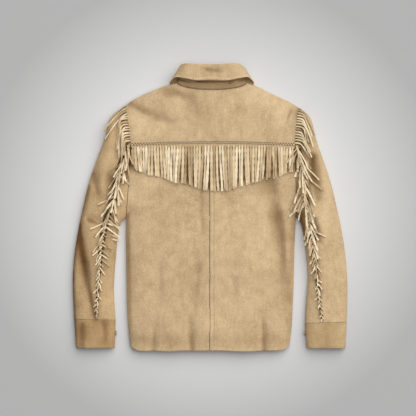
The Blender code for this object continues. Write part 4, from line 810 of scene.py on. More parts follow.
class Sleeve:
    """One sleeve as flattened sections: share 0 is its outer fold and 1 its inner fold."""

    def __init__(self, side):
        self.side = side
        table = SIDES[side][2]
        self.rows = len(table) - 1
        self.outer_x, self.outer_y = column(table, "outer_x"), column(table, "outer_y")
        self.inner_x, self.inner_y = column(table, "inner_x"), column(table, "inner_y")
        self.seam, self.top = column(table, "seam_share"), column(table, "height")
        self.yoke_share = (table[0].outer_y - YOKE_END_Y) / (table[0].outer_y - table[0].inner_y)

    def armhole(self, share):
        """The armhole seam in plan."""
        y = self.outer_y(0) + (self.inner_y(0) - self.outer_y(0)) * share
        edge = SIDES[self.side][1]
        ends = edge(self.outer_y(0)) - self.outer_x(0)
        return edge(y) - ends * (1 - share) ** ARMHOLE_EASE, y

    def width(self, row):
        return np.hypot(self.outer_x(row) - self.inner_x(row), self.outer_y(row) - self.inner_y(row))

    def plan(self, row, share):
        x = self.outer_x(row) + (self.inner_x(row) - self.outer_x(row)) * share
        y = self.outer_y(row) + (self.inner_y(row) - self.outer_y(row)) * share
        ax, ay = self.armhole(share)
        sx = self.outer_x(0) + (self.inner_x(0) - self.outer_x(0)) * share
        sy = self.outer_y(0) + (self.inner_y(0) - self.outer_y(0)) * share
        keep = 1 - smooth_step(0, ARMHOLE_BLEND, row)
        return x + keep * (ax - sx), y + keep * (ay - sy)

    def height(self, row, share, upper):
        x, y = self.plan(row, share)
        from_fold = np.minimum(share, 1 - share) * self.width(row)
        fold = SIDE_FOLD_HEIGHT + (CUFF_FOLD_HEIGHT - SIDE_FOLD_HEIGHT) * row / self.rows
        own = fold * (1 - rise(from_fold / FRONT_ROUND))
        if upper:
            up = rise(from_fold / np.minimum(SLEEVE_ROUND, self.width(row) / 2))
            own = fold + (self.top(row) - fold) * up - relief(x, y) * up
        ax, ay = self.armhole(share)
        body = back_height(ax, ay) if upper else front_height(ax, ay, self.side)
        blend = smooth_step(0, ARMHOLE_BLEND, row)
        return body * (1 - blend) + own * blend

    def point(self, row, share, upper):
        x, y = self.plan(row, share)
        return np.stack([x, y, self.height(row, share, upper)], -1)


SLEEVES = {side: Sleeve(side) for side in (-1, 1)}


def turn_steps(count):
    """Distances from a fold, as shares of its round, that step evenly round the bend."""
    return [1 - math.cos(math.pi / 2 * i / count) for i in range(count + 1)]


def panel_steps(steps):
    """Turn steps with one more just inside the fold, so that the edge face stands upright."""
    return np.array([0.0, UPRIGHT_SHARE] + turn_steps(steps)[1:])


def seam_dip(distance):
    """Cloth turns in slightly along a sewn edge."""
    return DIP_DEPTH * np.exp(-((distance / DIP_WIDTH) ** 2))


def shell(name, points, thickness=SUEDE, offset=-1.0, outward=(0, 0, 1), skin="body"):
    """A grid of points as a thin closed shell; with no outward side it faces off its middle."""
    rows, columns = points.shape[:2]
    bm = bmesh.new()
    bmesh.ops.create_grid(bm, x_segments=columns - 1, y_segments=rows - 1, size=1)
    bm.verts.ensure_lookup_table()
    for vert, point in zip(bm.verts, points.reshape(-1, 3)):
        vert.co = point
    bmesh.ops.remove_doubles(bm, verts=bm.verts, dist=TINY)
    bmesh.ops.recalc_face_normals(bm, faces=bm.faces)
    bm.normal_update()
    if outward:
        lean = sum((f.normal * f.calc_area() for f in bm.faces), Vector()).dot(Vector(outward))
    else:
        middle = sum((f.calc_center_median() for f in bm.faces), Vector()) / len(bm.faces)
        lean = sum(f.normal.dot(f.calc_center_median() - middle) * f.calc_area() for f in bm.faces)
    if lean < 0:
        bmesh.ops.reverse_faces(bm, faces=bm.faces)
    obj = finished(name, bm, skin)
    # painted shade and painted highlight from the stroke table, kept on the mesh for the suede
    places = np.array([vert.co[:2] for vert in obj.data.vertices])
    painted_shading = obj.data.attributes.new("painted_shading", "FLOAT", "POINT")
    painted_shading.data.foreach_set("value", strokes(PAINTED_SHADING, places[:, 0], places[:, 1]))
    wall = obj.modifiers.new("wall", "SOLIDIFY")
    wall.thickness = thickness
    wall.offset = offset
    wall.use_even_offset = False
    return obj


def finished(name, bm, skin, smooth=True):
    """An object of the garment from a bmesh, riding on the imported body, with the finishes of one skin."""
    mesh = bpy.data.meshes.new(name)
    bm.to_mesh(mesh)
    bm.free()
    if smooth:
        mesh.shade_smooth()
    for each in FINISHES[skin]:
        mesh.materials.append(each)
    obj = bpy.data.objects.new(name, mesh)
    bpy.context.scene.collection.objects.link(obj)
    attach(obj, "root")
    return obj


def yoke_seam(x):
    """The yoke seam in plan."""
    across = np.clip(np.abs(np.asarray(x, float) - CENTRE_X) / YOKE_HALF_WIDTH, 0, 1)
    return YOKE_END_Y + YOKE_MIDDLE_RISE * (1 - across**2)


def hem_rise(x, y):
    """The rounded corners of the hem."""
    inside = np.minimum(x - body_left(y), body_right(y) - x)
    return HEM_CORNER_RISE * (1 - rise(np.clip(inside, 0, None) / HEM_CORNER_LENGTH))


def hem_wave(x):
    """The slightly uneven line of the hem."""
    return HEM_WAVE * soft_noise(x, 0 * x, HEM_WAVE_LENGTH, 1.0, HEM_WAVE_SEED)


def to_fold(edge_points, which, direction):
    """Put edge points at the height of the fold they lie on, half a gap above or below it."""
    _, height = nearest_fold(edge_points[which, 0], edge_points[which, 1])
    edge_points[which, 2] = height + direction * FOLD_GAP / 2


def back_panel(side):
    """One half of the back, from the centre seam to the side fold and the armhole."""
    edge = SIDES[side][1]
    v = np.linspace(0, 1, BACK_ROWS)[:, None]
    y = HEM_Y + v * (YOKE_END_Y - HEM_Y)
    side_x = edge(y)
    centre = CENTRE_X + side * SEAM_GAP / 2
    inner = side_x - side * BACK_ROUND
    near_seam = np.array(NEAR_SEAM) * side
    flat = inner + (centre + near_seam[0] - inner) * np.linspace(0, 1, BACK_COLUMNS)[None, 1:]
    seam = np.broadcast_to(centre + near_seam[1:], (BACK_ROWS, len(near_seam) - 1))
    x = np.concatenate([side_x - side * BACK_ROUND * panel_steps(ROUND_STEPS)[None], flat, seam], 1)
    low, high = 1 - smooth_step(0, HEM_LINE_SHARE, v), smooth_step(YOKE_LINE_SHARE, 1, v)
    lines = y + low * (hem_rise(x, y) + hem_wave(x)) + high * (yoke_seam(x) - YOKE_END_Y - SEAM_GAP / 2)
    x = x + (edge(lines) - side_x) * (x - centre) / (side_x - centre)
    z = back_height(x, lines) - seam_dip(yoke_seam(x) - lines) - seam_dip(lines - lines[:1])
    points = np.stack([x, lines, z], -1)
    below_armpit = points[:, 0, 1] < SIDES[side][2][0].inner_y
    to_fold(points[:, 0], below_armpit, 1)
    return points


def row_shares(length_share, rows, folded):
    """Rows from 0 to 1 that close up towards the top edge, most of all towards a fold (folded is 1)."""
    steps = folded * panel_steps(ROUND_STEPS) + (1 - folded) * np.linspace(0, 1, ROUND_STEPS + 2)
    open_rows = np.linspace(0, 1 - length_share, rows + 1)[:-1]
    return np.concatenate([open_rows, 1 - length_share * steps[::-1]])


def column_tops(side, turns):
    """Top ends of a panel's columns in plan, from the shoulder point over the neck point to the centre."""
    share = np.linspace(0, 1, SHOULDER_COLUMNS + 1)
    x, y = neck_ring(turns[1:])
    x = CENTRE_X + side * (x - CENTRE_X)
    return np.concatenate([np.stack(shoulder_fold(side, share), 1), np.stack([x, y], 1)])


def panel_columns(side, low_x, low_y, tops, height, fold_round, rows, morph):
    """Columns from low places up to the tops; they keep their distance to the side edge until morph."""
    edge = SIDES[side][1]
    spans = tops[:, 1] - low_y
    folded = 1 - smooth_step(0, NECK_BLEND, np.arange(len(spans)) - SHOULDER_COLUMNS)
    shares = [row_shares(min(fold_round / span, 0.5), rows, part) for span, part in zip(spans, folded)]
    v = np.array(shares)
    y = low_y[:, None] + spans[:, None] * v
    near = ((low_x - low_x[-1]) / (low_x[0] - low_x[-1]))[:, None]
    x = low_x[:, None] + near * (edge(y) - low_x[0])
    top_shift = tops[:, :1] - (low_x[:, None] + near * (edge(tops[:, 1:]) - low_x[0]))
    x = x + smooth_step(morph, 1, v) * top_shift
    return np.stack([x, y, height(x, y)], -1)


def half_yoke(side):
    """Columns of one half of the yoke, from the armhole to the centre."""
    tops = column_tops(side, np.linspace(90, 0, NECK_COLUMNS))
    low_end = float(SIDES[side][1](YOKE_END_Y))
    share = (tops[:, 0] - tops[0, 0]) / (CENTRE_X - tops[0, 0])
    low_x = low_end + (CENTRE_X - low_end) * share
    low_y = yoke_seam(low_x) + SEAM_GAP / 2
    points = panel_columns(side, low_x, low_y, tops, back_height, BACK_ROUND, YOKE_ROWS, 0.0)
    points[..., 2] -= seam_dip(points[..., 1] - low_y[:, None])
    to_fold(points[:, -1], slice(0, SHOULDER_COLUMNS + 1), 1)
    return points


def yoke_points():
    """The yoke as columns from the left armhole to the right one."""
    return np.concatenate([half_yoke(-1), half_yoke(1)[::-1][1:]])


def front_panel(side):
    """One front, from the side fold and the armhole past the centre."""
    turns = np.interp(np.linspace(0, 1, FRONT_NECK_COLUMNS), np.linspace(0, 1, len(FRONT_TURNS)), FRONT_TURNS)
    tops = column_tops(side, turns)
    edge_x = CENTRE_X - side * LAP
    tops = np.concatenate([tops, [[edge_x, tops[-1, 1]]]])
    low_end = float(SIDES[side][1](FRONT_HEM_Y))
    around = low_end - side * FRONT_ROUND * panel_steps(FRONT_ROUND_STEPS)
    flat = CENTRE_X + side * FLAT_REACH
    between = np.linspace(around[-1], flat, len(tops) - len(around) - 1)[1:]
    low_x = np.concatenate([around, between, [CENTRE_X, edge_x]])
    low_y = FRONT_HEM_Y + hem_rise(low_x, np.full(len(low_x), FRONT_HEM_Y))

    def height(x, y):
        return front_height(x, y, side)

    points = panel_columns(side, low_x, low_y, tops, height, FRONT_ROUND, FRONT_ROWS, FRONT_MORPH)
    to_fold(points[:, -1], slice(0, SHOULDER_COLUMNS + 1), -1)
    below_armpit = points[0, :, 1] < SIDES[side][2][0].inner_y
    to_fold(points[0], below_armpit, -1)
    return points


def sleeve_points(side, outer_piece):
    """One piece of a sleeve: rows from the armhole to the cuff, columns from back seam to front seam."""
    sleeve = SLEEVES[side]
    rows = np.linspace(0, sleeve.rows, SLEEVE_ROWS)[:, None]
    width, seam = sleeve.width(rows), sleeve.seam(rows)
    half_gap = SLEEVE_SEAM_GAP / 2 / width
    steps = np.array(turn_steps(ROUND_STEPS))[None]
    low_steps = np.array(turn_steps(FRONT_ROUND_STEPS))[None]
    even = np.linspace(0, 1, SLEEVE_COLUMNS)[None, 1:]
    around = FRONT_ROUND / width
    if outer_piece:
        outer = np.minimum(SLEEVE_ROUND, OUTER_ROUND_MOST * seam * width) / width
        top = np.concatenate([outer * steps, outer + (seam - half_gap - outer) * even], 1)[:, ::-1]
        end = FRONT_SEAM_SHARE - half_gap
        under = np.concatenate([around * low_steps, around + (end - around) * even], 1)
    else:
        inner = np.minimum(SLEEVE_ROUND, INNER_ROUND_MOST * (1 - seam) * width) / width
        flat = seam + half_gap + (1 - inner - seam - half_gap) * (even - even[:, :1])
        top = np.concatenate([flat, 1 - inner * steps[:, ::-1]], 1)
        start = FRONT_SEAM_SHARE + half_gap
        under = np.concatenate([1 - around * low_steps, 1 - around + (start - 1 + around) * even], 1)
    points = np.concatenate([sleeve.point(rows, top, True), sleeve.point(rows, under[:, 1:], False)], 1)
    points[..., 0] += side * ARMHOLE_GAP * (1 - smooth_step(0, ARMHOLE_GAP_ROWS, rows))
    from_armhole = np.hypot(*np.moveaxis(points[..., :2] - points[:1, :, :2], -1, 0))
    points[..., 2] -= seam_dip(from_armhole) * (points[..., 2] > SIDE_FOLD_HEIGHT)
    points[-1] += (points[-2] - points[-1]) * CUFF_SEAM_GAP / LAST_ROW_LENGTH
    return points


def cuff_points(side):
    """A cuff as a strip wound round its section, with its ends lapped at the inner fold."""
    sleeve = SLEEVES[side]
    end = CUFF_ENDS[side]
    last = sleeve.rows
    start_outer = np.array([sleeve.outer_x(last), sleeve.outer_y(last)])
    start_inner = np.array([sleeve.inner_x(last), sleeve.inner_y(last)])
    rows = []
    for v in np.linspace(0, 1, CUFF_ROWS):
        outer = start_outer * (1 - v) + np.array([end.outer_x, end.outer_y]) * v
        inner = start_inner * (1 - v) + np.array([end.inner_x, end.inner_y]) * v
        top = float(sleeve.top(last)) * (1 - v) + end.height * v
        rows.append(cuff_section(outer, inner, top))
    return np.array(rows)


def cuff_section(outer, inner, top):
    """One wound section, from the end that lies inside round to the end that laps over it."""
    width = float(np.hypot(*(outer - inner)))
    upper = CUFF_ROUND / width * np.array(turn_steps(ROUND_STEPS))
    lower = FRONT_ROUND / width * np.array(turn_steps(FRONT_ROUND_STEPS))
    over = np.concatenate([[1 - CUFF_LAP / width], 1 - upper[::-1]])
    under = 1 - lower[1:]
    runs = [
        (over, True, 1.0),
        (under, False, 1.0),
        (np.linspace(under[-1], lower[-1], CUFF_UNDER_COLUMNS)[2:-1], False, 0.0),
        (lower[::-1], False, 0.0),
        (upper[1:], True, 0.0),
        (np.linspace(upper[-1], over[1], CUFF_TOP_COLUMNS)[1:-1], True, 0.0),
        (over[1:], True, 0.0),
        (under, False, 0.0),
    ]
    section = []
    for share, is_upper, inside in runs:
        reach = (CUFF_ROUND if is_upper else FRONT_ROUND) / width
        up = rise(np.minimum(share, 1 - share) / reach)
        plan = outer + (inner - outer) * share[:, None]
        sink = relief(plan[:, 0], plan[:, 1]) * up if is_upper else 0
        ceiling = top if is_upper else 0.0
        z = CUFF_FOLD_HEIGHT + (ceiling - CUFF_FOLD_HEIGHT) * up - sink
        step = inside * CUFF_STEP
        plan = plan + (outer - inner)[None] / width * step * np.sqrt(1 - up * up)[:, None]
        lift = -step * up if is_upper else step * up
        section.append(np.column_stack([plan, z + lift]))
    return np.concatenate(section)


def collar_angles():
    """Places along the collar in degrees, closer together where it turns under at the neck points."""
    turns = np.concatenate([np.linspace(*run) for run in COLLAR_RUNS])
    return np.concatenate([-turns[:0:-1], turns])


COLLAR_CURVES = {name: column(COLLAR, name, "angle") for name in CollarRow._fields[1:]}


CollarSection = namedtuple("CollarSection", "seam bend start centre edge roll rising outward upper")


def collar_section(angle):
    """Where one section of the collar starts, bends, rolls and ends, and which ways lead up and outward."""
    size, side = abs(angle), -1.0 if angle < 0 else 1.0
    row = {name: float(curve(size)) for name, curve in COLLAR_CURVES.items()}
    turn = math.radians(size)
    x, y = neck_ring(size)
    x = CENTRE_X + side * (float(x) - CENTRE_X)
    seam = Vector((x, float(y), neck_height(angle) + COLLAR_SEAM_RISE * math.cos(turn)))
    upper = max(0.0, math.cos(turn))
    drawn_in = FOLD_DRAWN_IN * math.sqrt(upper) if side > 0 else 0.0
    fold = Vector((CENTRE_X + side * row["fold_x"] * (1 - drawn_in), row["fold_y"], row["fold_z"]))
    edge = Vector((CENTRE_X + side * row["edge_x"], row["edge_y"], row["edge_z"]))
    rising = (fold - seam).normalized()
    outward = Vector((side * math.sin(turn), 0, math.cos(turn)))
    outward = (outward - rising * outward.dot(rising)).normalized()
    centre = fold - rising * row["roll"] + outward * row["roll"]
    start = fold - rising * row["roll"]
    bend = seam.lerp(start, STAND_SHARE)
    return CollarSection(seam, bend, start, centre, edge, row["roll"], rising, outward, upper)


def stand_section(angle):
    """The stand part of one section of the collar."""
    at = collar_section(angle)
    foot = at.seam + at.rising * COLLAR_GAP
    top = at.bend - at.rising * LEAF_GAP
    return [foot.lerp(top, t) for t in np.linspace(0, 1, STAND_STEPS)]


def leaf_section(angle):
    """The leaf part of one section of the collar, over the roll and down to its edge."""
    at = collar_section(angle)
    points = [at.bend.lerp(at.start, t) for t in np.linspace(0, 1, BEND_STEPS)]
    for phi in np.linspace(0, math.pi, ROLL_STEPS)[1:]:
        points.append(at.centre + at.rising * math.sin(phi) * at.roll - at.outward * math.cos(phi) * at.roll)
    last = points[-1]
    for t in np.linspace(0, 1, LEAF_STEPS)[1:]:
        place = last.lerp(at.edge, t)
        place.z = last.z + (at.edge.z - last.z) * (1 - (1 - t) ** LEAF_ARCH)
        place.z -= float(relief(place.x, place.y)) * min(1.0, t / LEAF_SMOOTH_SHARE) * at.upper
        points.append(place)
    return points


def collar_points(section):
    """The stand or the leaf, from its sections."""
    return np.array([section(angle) for angle in collar_angles()])


def placket_points():
    """The button band under the left front's edge."""
    xs = CENTRE_X + np.linspace(-1, 1, BAND_COLUMNS) * (LAP - BAND_INSET)
    ys = np.linspace(FRONT_HEM_Y + BAND_INSET, NECK_POINT_Y - FRONT_NECK_DROP - 2 * BAND_INSET, BAND_ROWS)
    z = PLACKET_LIFT - SEAM_GAP - BAND_PLY
    return np.array([[(x, y, z) for x in xs] for y in ys])


class Surface:
    """The finished cloth, found by looking straight down on it, or straight up from below."""

    def __init__(self, objects):
        graph = bpy.context.evaluated_depsgraph_get()
        verts, faces = [], []
        for obj in objects:
            mesh = obj.evaluated_get(graph).to_mesh()
            start = len(verts)
            verts += [v.co.copy() for v in mesh.vertices]
            faces += [[start + i for i in face.vertices] for face in mesh.polygons]
        self.tree = BVHTree.FromPolygons(verts, faces)

    def height(self, x, y, below=False):
        """Height of the cloth at a place or, over a seam's gap, just beside it; None beyond the cloth."""
        start, way = (LOOK_UP_FROM, 1) if below else (LOOK_DOWN_FROM, -1)
        for dx, dy in ((0, 0), (SEAM_REACH, SEAM_REACH), (-SEAM_REACH, -SEAM_REACH)):
            hit = self.tree.ray_cast(Vector((x + dx, y + dy, start)), Vector((0, 0, way)))
            if hit[0] is not None:
                return hit[0].z
        return None


class Pile:
    """Top of the cloth and of all that has been laid on it, in small square cells."""

    def __init__(self, surface):
        self.surface = surface
        self.grounds = {}
        self.tops = {}

    def height(self, x, y):
        cell = (round(x / CELL), round(y / CELL))
        if cell not in self.tops:
            self.grounds[cell] = self.surface.height(cell[0] * CELL, cell[1] * CELL)
            self.tops[cell] = self.grounds[cell]
        return self.tops[cell]

    def add(self, x, y, top):
        """Raise a cell to a new top; the higher the pile, the more of it is pressed together."""
        under = self.height(x, y)
        cell = (round(x / CELL), round(y / CELL))
        ground = OPEN_LEVEL if self.grounds[cell] is None else self.grounds[cell]
        pressed = ground + PILE_HEIGHT * math.tanh((top - ground) / PILE_HEIGHT)
        if under is None or under < pressed:
            self.tops[cell] = pressed


def strap(bm, points, widths, thickness, twists, tone=0, edge_tone=0):
    """A flat strip with four sides along points, turned about its own length by the twists."""
    rings = []
    for i, point in enumerate(points):
        along = (points[min(i + 1, len(points) - 1)] - points[max(i - 1, 0)]).normalized()
        level = Vector((along.y, -along.x, 0)).normalized()
        normal = level.cross(along)
        across = level * math.cos(twists[i]) + normal * math.sin(twists[i])
        up = across.cross(along)
        w, t = across * widths[i] / 2, up * thickness / 2
        rings.append([bm.verts.new(point + corner) for corner in (-w - t, w - t, w + t, -w + t)])
    ends = [bm.faces.new(rings[0][::-1]), bm.faces.new(rings[-1])]
    for face in ends:
        face.material_index = edge_tone
    for low, high in zip(rings, rings[1:]):
        for i, side_tone in enumerate((tone, edge_tone, tone, edge_tone)):
            j = (i + 1) % 4
            bm.faces.new((low[i], low[j], high[j], high[i])).material_index = side_tone


def strand_plan(root, headings, length, bends=STRAND_BENDS):
    """Points down a strand in plan, with its headings at the shares of its length called bends."""
    count = max(STRAND_LEAST_STEPS, round(length / STRAND_STEP))
    share = np.linspace(0, 1, count + 1)
    heading = np.interp(share, bends, headings)
    x = root[0] + np.cumsum(np.sin(heading)) * length / count
    y = root[1] - np.cumsum(np.cos(heading)) * length / count
    return np.stack([np.concatenate([[root[0]], x[:-1]]), np.concatenate([[root[1]], y[:-1]])], 1)


def sideways(plan):
    """Directions across a line in plan, one unit long, at each of its points."""
    side = np.gradient(plan, axis=0)[:, ::-1] * (1, -1)
    return side / np.hypot(*side.T)[:, None]


def held_up(pile, place, across, probes):
    """The highest top of the pile among the probed places across a strand, or 0 beyond the cloth."""
    tops = [pile.height(*(place + across * off)) for off in probes]
    return max((top for top in tops if top is not None), default=0.0)


def raise_pile(pile, place, across, top):
    for off in STRAND_PRINT:
        pile.add(*(place + across * off), top)


def draped(heights, drop):
    """Heights along a strand that bends down from what holds it up no faster than suede does."""
    z = np.array(heights)
    for i in range(1, len(z)):
        z[i] = max(z[i], z[i - 1] - drop)
    for i in range(len(z) - 2, -1, -1):
        z[i] = max(z[i], z[i + 1] - drop)
    z[1:-1] = np.maximum(z[1:-1], (z[:-2] + 2 * z[1:-1] + z[2:]) / 4)
    return z


def lay_strand(bm, pile, plan, width, twists, tone, curl):
    """Put a strand down on the pile, with its tip curled up from it."""
    across = sideways(plan) * width
    reach = width / 2 * np.abs(np.sin(twists)) + FRINGE_PLY / 2 * np.abs(np.cos(twists))
    heights = [held_up(pile, place, wide, STRAND_PROBES) + lift + STRAND_AIR
               for place, wide, lift in zip(plan, across, reach)]
    z = draped(heights, STRAND_SLOPE * float(np.hypot(*(plan[1] - plan[0]))))
    share = np.linspace(0, 1, len(z))
    z += curl * share**2
    widths = width * (1 + STRAND_WAVER * np.sin(np.arange(len(z)) * STRAND_WAVES + STRAND_PHASE * plan[0, 0]))
    widths *= ROOT_WIDTH + ROOT_WIDENING * smooth_step(0, ROOT_SHARE, share)
    points = [Vector((*place, height)) for place, height in zip(plan, z)]
    # the strand's cut sides take a tone of painted shade
    strap(bm, points, widths, FRINGE_PLY, twists, tone, CUT_EDGE_SHADE)
    for i in range(len(z) - 1):
        for part in (0, 0.5):
            place = plan[i] * (1 - part) + plan[i + 1] * part
            raise_pile(pile, place, across[i], z[i] + reach[i])


def lay_strip(bm, pile, plan, width, thickness, tone):
    """The narrow backing strip that strands are cut from, or a strip of painted shade, in the given tone."""
    widths = np.broadcast_to(width, len(plan))
    across = sideways(plan) * widths[:, None]
    points = []
    for i, place in enumerate(plan):
        top = held_up(pile, place, across[i], STRIP_PROBES)
        points.append(Vector((*place, top + thickness / 2 + STRAND_AIR)))
    strap(bm, points, widths, thickness, [0.0] * len(points), tone, tone)
    for i, point in enumerate(points):
        raise_pile(pile, np.array(point[:2]), across[i], point.z + thickness / 2)


def twist_along(rng, count, most):
    """A slow random turning about a strand's own length, with a flat root."""
    phase, speed = rng.uniform(0, 2 * math.pi), rng.uniform(*TWIST_SPEEDS)
    share = np.linspace(0, 1, count)
    turning = np.sin(phase + speed * math.pi * share)
    return most * rng.uniform(*TWIST_SIZES) * turning * smooth_step(0, TWIST_FREE_SHARE, share)


def lay_random(bm, pile, rng, plan, kind, narrowing=1.0):
    """Lay a strand with a width, tone, twist and curl drawn for its kind."""
    width = rng.uniform(*kind.widths) * narrowing
    tone = int(rng.choice(len(kind.tones), p=kind.tones))
    twists = twist_along(rng, len(plan), kind.twist)
    lay_strand(bm, pile, plan, width, twists, tone, rng.uniform(*kind.curls))


def yoke_ends(inset):
    """Both ends of a row along the yoke seam, set in from the armholes."""
    return float(body_left(YOKE_END_Y)) + inset, float(body_right(YOKE_END_Y)) - inset


def yoke_headings(i, rng):
    """Which way a strand of the yoke goes at its root, middle and tip, in clumps and with a few strays."""
    clump = sum(size * math.sin(i * speed + phase) for size, speed, phase in YOKE_CLUMPS)
    clump += YOKE_ZIGZAG * (-1) ** int(i)
    most = STRAY_FAR if rng.random() < STRAY_SHARE else STRAY_NEAR
    stray = rng.uniform(-most, most)
    end_curl = LEFT_END_CURL * max(0.0, 1 - i / LEFT_END_STRANDS)
    return clump * YOKE_ROOT_LEAN, clump + stray, clump - stray * STRAY_RETURN + end_curl


def make_yoke_fringe(pile, rng):
    """Strands down from the laced seam, on their strip and a strip of painted shade under their roots."""
    bm = bmesh.new()
    left, right = yoke_ends(YOKE_FRINGE_INSET)
    xs = np.linspace(left, right, YOKE_STRIP_POINTS)
    shade, strip = (np.stack([xs, yoke_seam(xs) - drop], 1) for drop in (YOKE_SHADE_DROP, YOKE_STRIP_DROP))
    # a strip of painted shade under the roots
    lay_strip(bm, pile, shade, YOKE_STRIP_WIDTH, YOKE_SHADE_PLY, CUT_EDGE_SHADE)
    lay_strip(bm, pile, strip, YOKE_STRIP_WIDTH, FRINGE_PLY, YOKE_STRIP_TONE)
    pitch = (right - left) / YOKE_STRANDS
    for i in rng.permutation(YOKE_STRANDS):
        x = left + pitch * (i + 0.5) + rng.uniform(-YOKE_ROOT_STRAY, YOKE_ROOT_STRAY)
        y = float(yoke_seam(x)) - YOKE_ROOT_DROP
        tip = float(np.interp(x, YOKE_TIPS_X, YOKE_TIPS_Y)) + rng.uniform(-YOKE_TIP_STRAY, YOKE_TIP_STRAY)
        plan = strand_plan((x, y), yoke_headings(i, rng), y - tip)
        lay_random(bm, pile, rng, plan, YOKE_STRAND)
    return finished("fringe_yoke_laid", bm, "fringe", smooth=False)


def lengths_along(line):
    """The length of a line up to each of its points."""
    return np.concatenate([[0], np.cumsum(np.hypot(*np.diff(line, axis=0).T))])


def at_length(line, lengths, length):
    """The place in plan at a length along a line."""
    return np.array([np.interp(length, lengths, line[:, 0]), np.interp(length, lengths, line[:, 1])])


def side_path(side):
    """The armhole and the sleeve's back seam in plan, as points with the length up to each."""
    sleeve = SLEEVES[side]
    shares = np.linspace(PATH_START, sleeve.yoke_share, PATH_ARMHOLE_POINTS)
    path = [sleeve.armhole(share) for share in shares]
    path = [(float(x) + side * FRINGE_OUT, float(y)) for x, y in path]
    for row in np.linspace(PATH_START_ROW, sleeve.rows, PATH_SLEEVE_POINTS):
        blend = min(row / ARMHOLE_BLEND, 1.0)
        at_row = float(sleeve.seam(row)) if blend == 1 else float(sleeve.seam(0))
        share = sleeve.yoke_share + (at_row - sleeve.yoke_share) * blend
        x, y = sleeve.plan(row, share)
        path.append((float(x), float(y)))
    path = np.array(path)
    return path, lengths_along(path)


def on_path(path, lengths, share):
    """The place at a share of a path's whole length."""
    return at_length(path, lengths, share * lengths[-1])


def sleeve_headings(side, lay, share, outward, rng):
    """Which way a strand goes at its root, middle and tip, out from the body or in towards it."""
    ends = ("out_root", "out_tip") if outward else ("in_root", "in_tip")
    root, tip = (side * float(lay[end](share)) for end in ends)
    spread = rng.normal(0, SLEEVE_SPREAD)
    middle = (root + tip) / 2 + spread
    return root + spread * SLEEVE_ROOT_SPREAD, middle, tip + spread + rng.normal(0, SLEEVE_TIP_SPREAD)


def make_sleeve_fringe(side, word, pile, rng):
    """Strands down a sleeve's back seam, laid from the cuff up so that each lies on those below."""
    bm = bmesh.new()
    path, lengths = side_path(side)
    first = ARMHOLE_FRINGE_END + SLEEVE_FRINGE_BREAK
    shares = np.linspace(first + SLEEVE_STRIP_INSET, SLEEVE_STRIP_END, SLEEVE_STRIP_POINTS)
    strip = np.array([on_path(path, lengths, share) for share in shares])
    # the strip is painted shade under the strands
    lay_strip(bm, pile, strip, np.interp(shares, *SLEEVE_STRIP_WIDTHS), FRINGE_PLY, STRIP_SHADE)
    table = LEFT_LAY if side < 0 else RIGHT_LAY
    lay = {name: column(table, name, "share") for name in Lay._fields[1:]}
    for i in reversed(range(SLEEVE_STRANDS)):
        down = (i + rng.uniform(*SLEEVE_PITCH)) / SLEEVE_STRANDS
        share = first + (SLEEVE_FRINGE_END - first) * down**SLEEVE_CROWDING
        outward = i % 2 == 0
        headings = sleeve_headings(side, lay, share, outward, rng)
        length = float(lay["length"](share)) * rng.uniform(*SLEEVE_LENGTHS)
        place = on_path(path, lengths, share)
        place = place + (side * (-SLEEVE_ROOT_OUT if outward else SLEEVE_ROOT_OUT), 0)
        narrowing = 1 - SLEEVE_NARROWING * smooth_step(*SLEEVE_NARROW_FROM, share)
        lay_random(bm, pile, rng, strand_plan(place, headings, length), SLEEVE_STRAND, narrowing)
    return finished("fringe_sleeve_%s_laid" % word, bm, "fringe", smooth=False)


def make_armhole_fringe(side, word, pile, rng):
    """Strands that leave the armhole seam sideways, like claws, and then hang down over the sleeve head."""
    bm = bmesh.new()
    path, lengths = side_path(side)
    shares = np.linspace(0, ARMHOLE_FRINGE_END, ARMHOLE_STRIP_POINTS)
    strip = np.array([on_path(path, lengths, share) for share in shares])
    # the strip is painted shade under the claws
    lay_strip(bm, pile, strip, SIDE_STRIP_WIDTH, FRINGE_PLY, CUT_EDGE_SHADE)
    table = LEFT_CLAWS if side < 0 else RIGHT_CLAWS
    downs, *columns = zip(*table)
    for i in range(ARMHOLE_STRANDS):
        down = i / (ARMHOLE_STRANDS - 1)
        share = ARMHOLE_FRINGE_END * (i + rng.uniform(*ARMHOLE_PITCH)) / ARMHOLE_STRANDS
        place = on_path(path, lengths, share) - (side * ARMHOLE_ROOT_IN, -ARMHOLE_ROOT_RISE)
        root, hang, tip, length = (float(np.interp(down, downs, values)) for values in columns)
        stray = rng.normal(0, ARMHOLE_STRAY)
        headings = (side * root, side * root * CLAW_LEAN, side * (hang + stray), side * (tip + stray))
        reach = rng.uniform(*CLAW_REACHES) / length
        bends = (0, reach * CLAW_BENDS[0], reach * CLAW_BENDS[1], 1)
        plan = strand_plan(place, headings, length * rng.uniform(*CLAW_LENGTHS), bends)
        lay_random(bm, pile, rng, plan, ARMHOLE_STRAND)
    return finished("fringe_armhole_%s_laid" % word, bm, "fringe", smooth=False)


def make_lacing(surface):
    """Slanted lace stitches over the yoke seam, on a strip of painted shade, as a rope-like row."""
    bm = bmesh.new()
    left, right = yoke_ends(LACE_INSET)
    count = round((right - left) / LACE_PITCH)
    shares = np.linspace(0, 1, LACE_STEPS)
    arch = [math.sin(math.pi * t) for t in shares]
    widths = [LACE_WIDTH * (LACE_END_WIDTH + LACE_WIDENING * bow) for bow in arch]
    for i in range(count + 1):
        x = left + (right - left) * i / count
        y = float(yoke_seam(x)) - LACE_DROP
        start, end = np.array([x - LACE_SLANT, y + LACE_RISE]), np.array([x + LACE_SLANT, y - LACE_RISE])
        points = []
        for t, bow in zip(shares, arch):
            px, py = start * (1 - t) + end * t
            lift = LACE_PLY * (LACE_ARCH * bow - LACE_SINK)
            points.append(Vector((px, py, surface.height(px, py) + lift + LACE_AIR)))
        strap(bm, points, widths, LACE_PLY, [0.0] * LACE_STEPS)
    return finished("lacing_yoke", bm, "lace")


